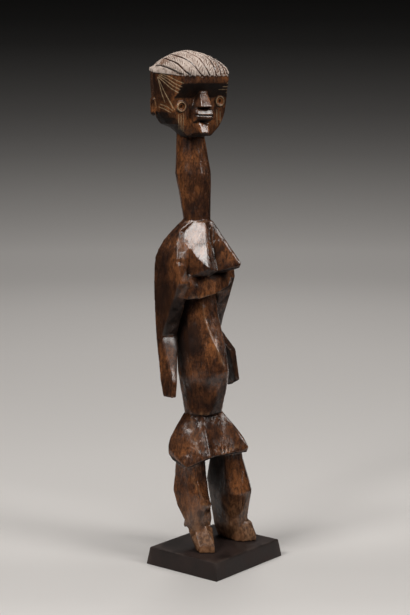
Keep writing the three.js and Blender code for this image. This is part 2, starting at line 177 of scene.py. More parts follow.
class Shape:
    """A triangle or quad mesh held as arrays, for moving its points and weighing its surface."""

    def __init__(self, mesh: bpy.types.Mesh) -> None:
        """Reads a mesh.

        Args:
            mesh: The mesh, in metres.
        """
        self.mesh = mesh
        flat = np.zeros(len(mesh.vertices) * 3)
        mesh.vertices.foreach_get("co", flat)
        self.points = flat.reshape(-1, 3) / MM
        edges = np.zeros(len(mesh.edges) * 2, dtype=np.int32)
        mesh.edges.foreach_get("vertices", edges)
        self.edges = edges.reshape(-1, 2)
        self.count = np.maximum(np.bincount(edges, minlength=len(self.points)), 1)

    def mean(self, values: np.ndarray) -> np.ndarray:
        """The mean of each point's neighbours.

        Args:
            values: One row of values for each point.

        Returns:
            The mean values, in the same shape.
        """
        a, b = self.edges.T
        n = len(self.points)
        columns = values.reshape(n, -1)
        total = [np.bincount(a, c[b], n) + np.bincount(b, c[a], n) for c in columns.T]
        return (np.stack(total, axis=1) / self.count[:, None]).reshape(values.shape)

    def relax(self, rounds: int, weight: np.ndarray | float = 1.0) -> None:
        """Rounds the shape off without shrinking it.

        Args:
            rounds: How often each point moves towards its neighbours and part of the way back.
            weight: How far each point follows, from 0 to 1.
        """
        weight = np.broadcast_to(np.asarray(weight, dtype=float), (len(self.points),))[:, None]
        for _ in range(rounds):
            self.points += 0.55 * weight * (self.mean(self.points) - self.points)
            self.points -= 0.50 * weight * (self.mean(self.points) - self.points)

    def melt(self, rounds: int, weight: np.ndarray) -> None:
        """Moves each point towards its neighbours in rounds, by a weight from 0 to 1."""
        for _ in range(rounds):
            self.points += 0.6 * weight[:, None] * (self.mean(self.points) - self.points)

    def save(self) -> None:
        """Writes the points back to the mesh."""
        self.mesh.vertices.foreach_set("co", (self.points * MM).ravel())
        self.mesh.update()

    def normals(self) -> np.ndarray:
        """Reads the outward direction at each point, from the mesh as it was last saved.

        Returns:
            One direction for each point, of length 1.
        """
        flat = np.zeros(len(self.points) * 3)
        self.mesh.vertex_normals.foreach_get("vector", flat)
        return flat.reshape(-1, 3)

    def push(self, height: np.ndarray) -> None:
        """Moves each point along its normal by a height in mm, and saves."""
        self.points += self.normals() * height[:, None]
        self.save()

    def bulge(self, rounds: int) -> np.ndarray:
        """How far each point stands out of the surface smoothed around it.

        Args:
            rounds: How widely the surface is smoothed.

        Returns:
            The height of each point in mm, below 0 in a hollow.
        """
        around = self.points.copy()
        for _ in range(rounds):
            around += 0.6 * (self.mean(around) - around)
        return ((self.points - around) * self.normals()).sum(axis=1)

    def store(self, name: str, values: np.ndarray) -> None:
        """Keeps one number for each point on the mesh, under a name."""
        found = self.mesh.attributes.get(name) or self.mesh.attributes.new(name, "FLOAT", "POINT")
        found.data.foreach_set("value", np.asarray(values, dtype=np.float32))

    def kept(self, name: str) -> np.ndarray:
        """Reads back what the mesh keeps under a name.

        Args:
            name: The attribute's name.

        Returns:
            One number for each point.
        """
        values = np.zeros(len(self.points), dtype=np.float32)
        self.mesh.attributes[name].data.foreach_get("value", values)
        return values.astype(float)


def linked(name: str, data: bpy.types.ID) -> bpy.types.Object:
    """Makes an object and links it to the scene.

    Args:
        name: The object's name.
        data: The mesh, light or camera that it places.

    Returns:
        The object.
    """
    made = bpy.data.objects.new(name, data)
    bpy.context.scene.collection.objects.link(made)
    return made


def packed(node: str) -> tuple[bpy.types.Mesh, bmesh.types.BMesh]:
    """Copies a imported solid.

    Args:
        node: The solid's name.

    Returns:
        The copy without materials, and its shape opened for changes, with corners that coincide joined.
    """
    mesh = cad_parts[node].data.copy()
    mesh.materials.clear()
    work = bmesh.new()
    work.from_mesh(mesh)
    bmesh.ops.remove_doubles(work, verts=work.verts, dist=WELD * MM)
    return mesh, work


@dataclass(frozen=True)
class PhotoCamera:
    """The camera of the photograph, worked out from the plinth's edges and the figure's height.

    Attributes:
        azimuth: Degrees round the object; 0 looks along +Y.
        pitch: Degrees below the horizontal.
        focal_px: Focal length in pixels of the photograph.
        distance: Level distance to the plinth's middle, in metres.
        height: Height above the floor, in metres.
        aside: How far it stands to the right, in metres.
        frame_px: Width and height of the photograph.
    """

    azimuth: float = -51.0
    pitch: float = 8.45
    focal_px: float = 1500.0
    distance: float = 1.5
    height: float = 0.487
    aside: float = -0.010
    frame_px: tuple[int, int] = (410, 615)

    def axes(self) -> tuple[Vector, Vector, Vector]:
        """Works out which way the camera faces.

        Returns:
            The forward, right and up directions.
        """
        a, p = math.radians(self.azimuth), math.radians(self.pitch)
        forward = Vector((-math.sin(a) * math.cos(p), math.cos(a) * math.cos(p), -math.sin(p)))
        right = Vector((math.cos(a), math.sin(a), 0.0))
        return forward, right, right.cross(forward)

    def _level(self) -> tuple[Vector, Vector]:
        """The level directions back to the camera and to its right."""
        a = math.radians(self.azimuth)
        return Vector((math.sin(a), -math.cos(a), 0.0)), Vector((math.cos(a), math.sin(a), 0.0))

    def place(self) -> Vector:
        """Where the camera stands, in metres."""
        back, right = self._level()
        return back * self.distance + right * self.aside + Vector((0.0, 0.0, self.height))

    def sight(self, u: float, v: float) -> Vector:
        """The direction of the sight line through a pixel.

        Args:
            u: Pixels from the left edge.
            v: Pixels from the top edge.

        Returns:
            The direction, of length 1.
        """
        forward, right, up = self.axes()
        across = (u - self.frame_px[0] / 2) / self.focal_px
        down = (v - self.frame_px[1] / 2) / self.focal_px
        return (forward + right * across - up * down).normalized()

    def towards(self, azimuth: float, elevation: float) -> Vector:
        """The direction from the object to something that is seen beside or above the camera.

        Args:
            azimuth: Degrees to the right of the camera, seen from above.
            elevation: Degrees above the horizontal.

        Returns:
            The direction, of length 1.
        """
        t, e = math.radians(azimuth), math.radians(elevation)
        back, right = self._level()
        level = back * math.cos(t) + right * math.sin(t)
        return level * math.cos(e) + Vector((0.0, 0.0, math.sin(e)))

    def make(self) -> None:
        """Makes the camera and sets it as the scene's."""
        data = bpy.data.cameras.new("photo_camera")
        data.sensor_width = 36.0
        data.lens = self.focal_px / self.frame_px[1] * data.sensor_width
        data.clip_start = 0.05
        data.clip_end = 50.0
        camera = linked("photo_camera", data)
        forward, right, up = self.axes()
        turn = Matrix((right, up, -forward)).transposed().to_4x4()
        camera.matrix_world = Matrix.Translation(self.place()) @ turn
        bpy.context.scene.camera = camera


class NodeSheet:
    """Adds nodes to a tree and joins them."""

    def __init__(self, tree: bpy.types.NodeTree) -> None:
        """Takes the tree to work on and empties it."""
        self.tree = tree
        tree.nodes.clear()

    def add(self, kind: str, inputs: dict | None = None, **settings: object) -> bpy.types.Node:
        """Adds a node.

        Args:
            kind: Blender's name of the node type.
            inputs: What goes into each input, by name or index: a socket to join, or a value.
            settings: The node's own settings.

        Returns:
            The node.
        """
        node = self.tree.nodes.new(kind)
        for name, value in settings.items():
            setattr(node, name, value)
        for name, value in (inputs or {}).items():
            if isinstance(value, bpy.types.NodeSocket):
                self.tree.links.new(value, node.inputs[name])
            else:
                node.inputs[name].default_value = value
        return node

    def made(self, kind: str, inputs: dict | None = None, **settings: object) -> bpy.types.NodeSocket:
        """The first output of a new node."""
        return self.add(kind, inputs, **settings).outputs[0]

    def math(self, operation: str, *terms: object) -> bpy.types.NodeSocket:
        """The result of a Math node on one to three terms."""
        return self.made("ShaderNodeMath", dict(enumerate(terms)), operation=operation)

    def times(self, first: object, *others: object) -> bpy.types.NodeSocket:
        """The product of some terms."""
        for other in others:
            first = self.math("MULTIPLY", first, other)
        return first

    def most(self, first: object, *others: object) -> bpy.types.NodeSocket:
        """The greatest of some terms."""
        for other in others:
            first = self.math("MAXIMUM", first, other)
        return first

    def vector(self, operation: str, *terms: object) -> bpy.types.NodeSocket:
        """The result of a Vector Math node on one or two terms."""
        return self.made("ShaderNodeVectorMath", dict(enumerate(terms)), operation=operation)

    def scaled(self, vector: object, factor: object) -> bpy.types.NodeSocket:
        """A vector times a number."""
        return self.made("ShaderNodeVectorMath", {0: vector, "Scale": factor}, operation="SCALE")

    def spread(
        self, value: object, low: object, high: object, to: tuple[float, float] = (0.0, 1.0)
    ) -> bpy.types.NodeSocket:
        """Maps a range of values onto another, with a smooth start and end.

        Args:
            value: The value.
            low: Start of its range.
            high: End of its range.
            to: What the start and the end become.

        Returns:
            The mapped value's socket.
        """
        inputs = {"Value": value, "From Min": low, "From Max": high, "To Min": to[0], "To Max": to[1]}
        node = self.add("ShaderNodeMapRange", inputs, interpolation_type="SMOOTHSTEP")
        return node.outputs["Result"]

    def layered(self, colour: object, layers: list[tuple[object, object]]) -> bpy.types.NodeSocket:
        """Lays colours over one another.

        Args:
            colour: The lowest colour.
            layers: How much of each colour shows above it, and the colour, from the lowest up.

        Returns:
            The mixed colour's socket.
        """
        for share, over in layers:
            pair = (c if isinstance(c, bpy.types.NodeSocket) else (*c, 1.0) for c in (colour, over))
            inputs = {0: share, **dict(zip((6, 7), pair))}
            colour = self.add("ShaderNodeMix", inputs, data_type="RGBA").outputs[2]
        return colour

    def kept(self, name: str) -> bpy.types.NodeSocket:
        """The number that the surface keeps under a name."""
        return self.add("ShaderNodeAttribute", attribute_name=name).outputs["Fac"]

    def place(self) -> bpy.types.NodeSocket:
        """The object's own coordinates."""
        return self.add("ShaderNodeTexCoord").outputs["Object"]

    def effect(self, group: bpy.types.NodeTree, output: str, **values: object) -> bpy.types.NodeSocket:
        """One output of a shared group that is placed here with values for its inputs."""
        return self.add("ShaderNodeGroup", values, node_tree=group).outputs[output]

    def shade(self, inputs: dict[str, object]) -> None:
        """Ends a material's tree with a Principled shader."""
        shader = self.made("ShaderNodeBsdfPrincipled", inputs)
        self.add("ShaderNodeOutputMaterial", {"Surface": shader})


def new_material(name: str) -> tuple[bpy.types.Material, NodeSheet]:
    """Starts a material.

    Args:
        name: The material's name.

    Returns:
        The material, and the sheet to build its nodes on.
    """
    material = bpy.data.materials.new(name)
    material.use_nodes = True
    return material, NodeSheet(material.node_tree)


def shared_group(
    name: str, inputs: dict[str, float], outputs: list[str]
) -> tuple[NodeSheet, bpy.types.NodeOutputs]:
    """Starts a shader node group.

    Args:
        name: The group's name.
        inputs: Its number inputs with their default values.
        outputs: Its number outputs.

    Returns:
        The sheet to build on, and the sockets of the group's inputs.
    """
    tree = bpy.data.node_groups.new(name, "ShaderNodeTree")
    for label, value in inputs.items():
        socket = tree.interface.new_socket(name=label, in_out="INPUT", socket_type="NodeSocketFloat")
        socket.default_value = value
    for label in outputs:
        tree.interface.new_socket(name=label, in_out="OUTPUT", socket_type="NodeSocketFloat")
    sheet = NodeSheet(tree)
    return sheet, sheet.add("NodeGroupInput").outputs


class Effects:
    """The effects that both finishes use, each one a shader node group that is built once."""

    def __init__(self) -> None:
        """Builds the groups."""
        self.grain = self._grain()
        self.blotch = self._blotch()
        self.rub = self._rub()

    @staticmethod
    def _drawn_out(sheet: NodeSheet, place: object, stretch: object) -> bpy.types.NodeSocket:
        """Coordinates in which a pattern is drawn out upwards."""
        thin = {0: 1.0, 1: 1.0, 2: sheet.math("DIVIDE", 1.0, stretch)}
        return sheet.vector("MULTIPLY", place, sheet.made("ShaderNodeCombineXYZ", thin))

    def _grain(self) -> bpy.types.NodeTree:
        """Fibres that run up the wood: streaks of tone and a fine relief.

        Returns:
            The group.
        """
        inputs = {"Width": 420.0, "Stretch": 14.0, "Waver": 0.4}
        sheet, take = shared_group("wood_grain", inputs, ["Streak", "Relief"])
        place = sheet.place()
        sway = sheet.add("ShaderNodeTexNoise", {"Vector": place, "Scale": 18.0, "Detail": 1.0})
        offset = sheet.vector("SUBTRACT", sway.outputs["Color"], (0.5, 0.5, 0.5))
        offset = sheet.scaled(offset, sheet.times(take["Waver"], 0.01))
        fibre = self._drawn_out(sheet, sheet.vector("ADD", place, offset), take["Stretch"])
        noise = {"Vector": fibre, "Scale": take["Width"], "Detail": 5.0, "Roughness": 0.62}
        streak = sheet.made("ShaderNodeTexNoise", noise)
        finer = {"Vector": fibre, "Scale": sheet.times(take["Width"], 3.1), "Detail": 3.0}
        relief = sheet.math("MULTIPLY_ADD", sheet.made("ShaderNodeTexNoise", finer), 0.5, streak)
        sheet.add("NodeGroupOutput", {"Streak": sheet.spread(streak, 0.34, 0.66), "Relief": relief})
        return sheet.tree

    def _blotch(self) -> bpy.types.NodeTree:
        """Soft-edged patches that can be drawn out upwards.

        Returns:
            The group.
        """
        inputs = {"Scale": 60.0, "Low": 0.45, "High": 0.6, "Seed": 0.0, "Stretch": 1.0}
        sheet, take = shared_group("soft_patches", inputs, ["Patch"])
        place = self._drawn_out(sheet, sheet.place(), take["Stretch"])
        noise = {"Vector": place, "W": take["Seed"], "Scale": take["Scale"], "Detail": 4.0, "Roughness": 0.58}
        cloud = sheet.made("ShaderNodeTexNoise", noise, noise_dimensions="4D")
        sheet.add("NodeGroupOutput", {"Patch": sheet.spread(cloud, take["Low"], take["High"])})
        return sheet.tree

    def _rub(self) -> bpy.types.NodeTree:
        """Wear on the arrises, broken up where hands and shelves didn't reach.

        Returns:
            The group.
        """
        inputs = {"Edge": 0.0, "Low": 0.2, "High": 0.8, "Scale": 90.0}
        sheet, take = shared_group("rubbed_edges", inputs, ["Rubbed"])
        noise = {"Vector": sheet.place(), "Scale": take["Scale"], "Detail": 3.0}
        broken = sheet.spread(sheet.made("ShaderNodeTexNoise", noise), 0.3, 0.62, (0.25, 1.0))
        worn = sheet.times(take["Edge"], broken)
        sheet.add("NodeGroupOutput", {"Rubbed": sheet.spread(worn, take["Low"], take["High"])})
        return sheet.tree


@dataclass(frozen=True)
class Patina:
    """The figure's finish: handled dark wood with clay in the hair and in the scored lines, and in its colour
    painted shade and painted light.

    Attributes:
        dark: The oldest, blackest layer, also laid on in spots as painted shade.
        brown: The red-brown wood that shows through it.
        amber: Wood polished by handling, also laid on in spots as painted light.
        worn: Bare wood on the arrises, also laid on in pale lines as painted highlight.
        soot_and_shade: Near-black for the dirt in cracks and partings and the patina of small hollows, also
            laid on as painted shade in recesses and on faces turned downwards.
        earth: The dry wood of the lower legs.
        clay: The clay on the rows of hair.
        thin_clay: The clay where it has mostly worn off.
        scored: The pale floor of a scored line.
    """

    dark: Colour = (0.0150, 0.0062, 0.0038)
    brown: Colour = (0.112, 0.040, 0.0165)
    amber: Colour = (0.330, 0.120, 0.0380)
    worn: Colour = (0.300, 0.150, 0.070)
    soot_and_shade: Colour = (0.0050, 0.0032, 0.0026)
    earth: Colour = (0.250, 0.130, 0.066)
    clay: Colour = (0.590, 0.495, 0.435)
    thin_clay: Colour = (0.210, 0.118, 0.076)
    scored: Colour = (0.560, 0.400, 0.230)

    # How dry the wood is where each mark is full
    DRYNESS = {"dull": 1.0, "shelter": 0.8, "under": 0.75, "score": 0.7, "dim": 0.5, "bare": 0.45}

    def make(self, effects: Effects) -> bpy.types.Material:
        """Builds the material.

        Args:
            effects: The shared node groups.

        Returns:
            The material.
        """
        material, sheet = new_material("handled_wood")
        times, most, kept = sheet.times, sheet.most, sheet.kept
        clay = self._clay_cover(sheet, effects)
        parted = sheet.spread(kept("parting"), 0.30, 0.90, (0.0, 0.45))
        layers = [
            (clay, self._clay_colour(sheet, effects)),
            (times(kept("hatch"), 0.25), self.dark),
            (most(kept("crack"), parted), self.soot_and_shade),
        ]
        dry = most(clay, *(times(kept(mark), share) for mark, share in self.DRYNESS.items()))
        grain = sheet.effect(effects.grain, "Relief", Width=620.0, Stretch=6.0, Waver=0.8)
        crust = sheet.effect(effects.blotch, "Patch", Scale=640.0, Low=0.3, High=0.75, Seed=9.0)
        gloss = sheet.effect(effects.blotch, "Patch", Scale=260.0, Low=0.4, High=0.68, Seed=4.0, Stretch=3.0)
        rougher = sheet.spread(kept("calm"), 0.0, 1.0, (0.16, 0.07))
        polished = sheet.math("MULTIPLY_ADD", gloss, rougher, 0.14)
        relief = sheet.math("MULTIPLY_ADD", crust, clay, grain)
        relief = times(relief, sheet.spread(kept("calm"), 0.0, 1.0, (1.0, 0.35)))
        normal = sheet.made("ShaderNodeBump", {"Height": relief, "Strength": 0.5, "Distance": 0.0004})
        sheet.shade(
            {
                "Base Color": sheet.layered(self._wood(sheet, effects), layers),
                "Roughness": 0.62,
                "Normal": normal,
                "Coat Weight": sheet.spread(dry, 0.0, 0.8, (1.0, 0.02)),
                "Coat Roughness": most(polished, times(dry, 0.6)),
                "Coat IOR": 1.6,
                "Coat Normal": normal,
                "Specular IOR Level": 0.10,
            }
        )
        return material

    def _wood(self, sheet: NodeSheet, effects: Effects) -> bpy.types.NodeSocket:
        """The wood's colour with the layers of its patina, among them painted shade and painted light.

        Args:
            sheet: The material's sheet.
            effects: The shared node groups.

        Returns:
            The colour's socket.
        """
        times, kept, spread = sheet.times, sheet.kept, sheet.spread
        streak = sheet.effect(effects.grain, "Streak", Width=300.0, Stretch=5.0, Waver=1.1)
        fleck = sheet.effect(effects.blotch, "Patch", Scale=330.0, Low=0.4, High=0.62, Seed=2.0, Stretch=2.0)
        broad = sheet.effect(effects.blotch, "Patch", Scale=48.0, Low=0.36, High=0.66, Seed=1.0, Stretch=1.5)
        speck = sheet.effect(effects.blotch, "Patch", Scale=700.0, Low=0.48, High=0.62, Seed=3.0, Stretch=1.7)
        rub = sheet.effect(effects.rub, "Rubbed", Edge=kept("edge"), Low=0.3, High=1.0, Scale=160.0)
        mixed = sheet.math("MULTIPLY_ADD", fleck, 0.4, times(streak, 0.35))
        mixed = sheet.math("MULTIPLY_ADD", broad, 0.25, mixed)
        # Painted light: spots of it add amber on top of the broad patches of the wood's own warmer tone, and
        # recesses lose that amber as painted shade
        warm = times(sheet.math("MULTIPLY_ADD", kept("glow"), 0.7, broad), mixed)
        warm = times(warm, spread(kept("shelter"), 0.0, 0.7, (0.8, 0.0)))
        # Painted shade: recesses and faces turned downwards go near-black, together with the dark patina of
        # small hollows
        grime_and_shade = sheet.most(kept("shelter"), kept("under"), kept("hollow"))
        layers = [
            (mixed, self.brown),
            (sheet.math("MINIMUM", warm, 1.0), self.amber),
            (times(speck, 0.6), self.dark),
            (times(kept("bare"), spread(fleck, 0.0, 1.0, (0.25, 0.85))), self.earth),
            # Painted shade in spots
            (times(kept("dim"), 0.85), self.dark),
            (kept("iris"), self.amber),
            (times(grime_and_shade, 0.88), self.soot_and_shade),
            (times(rub, 0.3), self.worn),
            # Painted highlight: pale lines along edges and flats
            (times(kept("shine"), spread(fleck, 0.0, 1.0, (0.35, 0.8))), self.worn),
            (times(kept("score"), spread(fleck, 0.0, 1.0, (0.45, 0.85))), self.scored),
        ]
        return sheet.layered(self.dark, layers)

    def _clay_cover(self, sheet: NodeSheet, effects: Effects) -> bpy.types.NodeSocket:
        """How much clay covers the hair, which is least in the partings.

        Args:
            sheet: The material's sheet.
            effects: The shared node groups.

        Returns:
            The share's socket.
        """
        thin = sheet.effect(effects.blotch, "Patch", Scale=210.0, Low=0.34, High=0.52, Seed=6.0)
        patchy = sheet.spread(thin, 0.0, 1.0, (0.55, 1.0))
        parted = sheet.spread(sheet.kept("parting"), 0.1, 0.5, (1.0, 0.04))
        crossed = sheet.spread(sheet.kept("hatch"), 0.2, 1.0, (1.0, 0.42))
        return sheet.times(sheet.kept("clay"), patchy, parted, crossed)

    def _clay_colour(self, sheet: NodeSheet, effects: Effects) -> bpy.types.NodeSocket:
        """The clay's colour: brown where it is thin, paler on the ridges as painted highlight and browner in
        the grooves as painted shade.

        Args:
            sheet: The material's sheet.
            effects: The shared node groups.

        Returns:
            The colour's socket.
        """
        mottle = sheet.effect(effects.blotch, "Patch", Scale=330.0, Low=0.36, High=0.66, Seed=7.0)
        lost = sheet.times(sheet.kept("lost"), 0.9)
        # Painted shade makes the clay browner in the grooves, and painted highlight paler on the ridges
        for value, share in ((mottle, 0.42), (sheet.kept("groove"), 0.7), (sheet.kept("ridge"), -0.45)):
            lost = sheet.math("MULTIPLY_ADD", value, share, lost)
        lost = sheet.math("MINIMUM", sheet.most(lost, 0.0), 1.0)
        return sheet.layered(self.clay, [(lost, self.thin_clay)])


@dataclass(frozen=True)
class PlinthPaint:
    """The plinth's finish: brown-black satin paint on planed wood.

    Attributes:
        paint: The paint.
        thin: Where the brown undercoat shows through it.
        rubbed: The arrises.
    """

    paint: Colour = (0.0150, 0.0105, 0.0095)
    thin: Colour = (0.0300, 0.0180, 0.0150)
    rubbed: Colour = (0.070, 0.050, 0.042)

    def make(self, effects: Effects) -> bpy.types.Material:
        """Builds the material.

        Args:
            effects: The shared node groups.

        Returns:
            The material.
        """
        material, sheet = new_material("satin_paint")
        streak = sheet.effect(effects.grain, "Streak", Width=240.0, Stretch=1.6, Waver=0.3)
        cloud = sheet.effect(effects.blotch, "Patch", Scale=38.0, Low=0.36, High=0.66, Seed=12.0)
        rub = sheet.effect(effects.rub, "Rubbed", Edge=sheet.kept("edge"), Low=0.35, High=1.0, Scale=70.0)
        layers = [
            (cloud, self.thin),
            (sheet.times(streak, 0.35), self.thin),
            (sheet.times(rub, 0.5), self.rubbed),
        ]
        relief = {"Height": streak.node.outputs["Relief"], "Strength": 0.35, "Distance": 0.0003}
        sheet.shade(
            {
                "Base Color": sheet.layered(self.paint, layers),
                "Roughness": sheet.spread(cloud, 0.0, 1.0, (0.44, 0.58)),
                "Normal": sheet.made("ShaderNodeBump", relief),
                "Specular IOR Level": 0.35,
            }
        )
        return material


class Tool(Enum):
    """The cuts that follow a line: name of the mark, width and depth in mm."""

    BRAID = ("crack", 3.6, 1.7)
    PARTING = ("parting", 2.7, 1.2)
    HATCH = ("hatch", 1.4, 0.5)
    SCORE = ("score", 1.3, 0.4)
    HAIR_CRACK = ("crack", 0.8, 0.12)
    SLIT = ("crack", 1.0, 0.6)
    NOTCH = ("crack", 2.0, 1.1)
    # Lines of painted highlight, marked without any depth
    SHINE = ("shine", 3.0, 0.0)

    def inputs(self, finish: bpy.types.Material) -> dict[str, object]:
        """What the tool gives to the inputs of a cut's tree, in metres, with the finish that it shows."""
        mark, width, depth = self.value
        return {"Width": width * MM, "Depth": depth * MM, "Mark": mark, "Finish": finish}


class CutTree:
    """Geometry nodes that cut a groove along guide lines on a surface."""

    SOCKETS = {
        "Geometry": "Geometry",
        "Guides": "Object",
        "Width": "Float",
        "Depth": "Float",
        "Mark": "String",
        "Finish": "Material",
    }

    def __init__(self) -> None:
        """Builds the tree."""
        self._finish(*self._start("cut_along_lines"))

    def _start(
        self, name: str, extra: tuple[str, ...] = ()
    ) -> tuple[NodeSheet, bpy.types.NodeOutputs, bpy.types.NodeSocket]:
        """Makes the tree with the sockets that every cut has.

        Args:
            name: The tree's name.
            extra: Names of more number inputs.

        Returns:
            The sheet to build on, the tree's inputs, and the geometry of its guides.
        """
        self.tree = bpy.data.node_groups.new(name, "GeometryNodeTree")
        self.tree.is_modifier = True
        face = self.tree.interface
        for label, kind in (self.SOCKETS | dict.fromkeys(extra, "Float")).items():
            face.new_socket(name=label, in_out="INPUT", socket_type=f"NodeSocket{kind}")
        face.new_socket(name="Geometry", in_out="OUTPUT", socket_type="NodeSocketGeometry")
        sheet = NodeSheet(self.tree)
        take = sheet.add("NodeGroupInput").outputs
        guides = sheet.add("GeometryNodeObjectInfo", {"Object": take["Guides"]})
        return sheet, take, guides.outputs["Geometry"]

    @staticmethod
    def _finish(sheet: NodeSheet, take: bpy.types.NodeOutputs, lines: bpy.types.NodeSocket) -> None:
        """Keeps the mark, cuts along the lines, and ends the tree.

        The mark comes first, because the distance to a line is measured from where the points are.

        Args:
            sheet: The tree's sheet.
            take: The tree's inputs.
            lines: The geometry whose edges are followed.
        """
        near = sheet.add("GeometryNodeProximity", {0: lines}, target_element="EDGES")
        half = sheet.times(take["Width"], 0.5)
        share = sheet.spread(near.outputs["Distance"], 0.0, half, (1.0, 0.0))
        before = sheet.add("GeometryNodeInputNamedAttribute", {"Name": take["Mark"]}, data_type="FLOAT")
        both = sheet.most(before.outputs["Attribute"], share)
        marked = {"Geometry": take["Geometry"], "Name": take["Mark"], "Value": both}
        body = sheet.made("GeometryNodeStoreNamedAttribute", marked, data_type="FLOAT", domain="POINT")
        offset = sheet.scaled(sheet.made("GeometryNodeInputNormal"), sheet.times(share, take["Depth"], -1.0))
        body = sheet.made("GeometryNodeSetPosition", {"Geometry": body, "Offset": offset})
        body = sheet.made("GeometryNodeRealizeInstances", {"Geometry": body})
        body = sheet.made("GeometryNodeSetMaterial", {"Geometry": body, "Material": take["Finish"]})
        sheet.add("NodeGroupOutput", {"Geometry": body})

    def cut(
        self, target: bpy.types.Object, name: str, lines: list[Path], values: dict[str, object]
    ) -> bpy.types.Object:
        """Adds the cut to an object.

        Args:
            target: The object to cut.
            name: Name for the guides.
            lines: The lines that the cut follows, as points in mm.
            values: What goes into the tree's other inputs, by name; lengths in metres.

        Returns:
            The guides, to be removed when the cut is applied.
        """
        values = {"Guides": guide_object(name, lines), **values}
        modifier = target.modifiers.new(self.tree.name, "NODES")
        modifier.node_group = self.tree
        for item in self.tree.interface.items_tree:
            if item.in_out == "INPUT" and item.name in values:
                modifier[item.identifier] = values[item.name]
        return values["Guides"]


class HatchTree(CutTree):
    """Geometry nodes that cross each row of hair with short slanting cuts."""

    WANDER = 0.28  # radians that a cut's slant strays either way
    SEED = 11

    def __init__(self) -> None:
        """Builds the tree."""
        sheet, take, rows = self._start("hatch_across_rows", ("Spacing", "Length", "Slant"))
        align = "FunctionNodeAlignRotationToVector"
        rows = {"Curve": sheet.made("GeometryNodeMeshToCurve", {"Mesh": rows}), "Length": take["Spacing"]}
        starts = sheet.made("GeometryNodeResampleCurve", rows, mode="LENGTH")
        reach = sheet.made("ShaderNodeCombineXYZ", {0: sheet.times(take["Length"], 0.5)})
        ends = {"Count": 2, "Start Location": sheet.scaled(reach, -1.0), "Offset": reach}
        stroke = sheet.made("GeometryNodeMeshLine", ends, mode="END_POINTS")
        along = sheet.made(align, {"Vector": sheet.made("GeometryNodeInputTangent")}, axis="Y")
        middle = tuple(HEAD.outward(np.array([HAIR_MIDDLE]))[0] * MM)
        outward = sheet.vector("SUBTRACT", sheet.made("GeometryNodeInputPosition"), middle)
        upright = sheet.made(align, {"Rotation": along, "Vector": outward}, axis="Z", pivot_axis="Y")
        wander = sheet.add("FunctionNodeRandomValue", {"Seed": self.SEED}, data_type="FLOAT")
        ranges = [s for s in wander.inputs if s.type == "VALUE" and s.enabled]
        ranges[0].default_value = -self.WANDER
        ranges[1].default_value = self.WANDER
        drift = [s for s in wander.outputs if s.enabled][0]
        slant = sheet.made("ShaderNodeCombineXYZ", {2: sheet.math("ADD", take["Slant"], drift)})
        turned = sheet.made("FunctionNodeEulerToRotation", {0: slant})
        facing = {"Rotation": upright, "Rotate By": turned}
        facing = sheet.made("FunctionNodeRotateRotation", facing, rotation_space="LOCAL")
        strokes = {"Points": starts, "Instance": stroke, "Rotation": facing}
        strokes = sheet.made("GeometryNodeInstanceOnPoints", strokes)
        self._finish(sheet, take, sheet.made("GeometryNodeRealizeInstances", {"Geometry": strokes}))


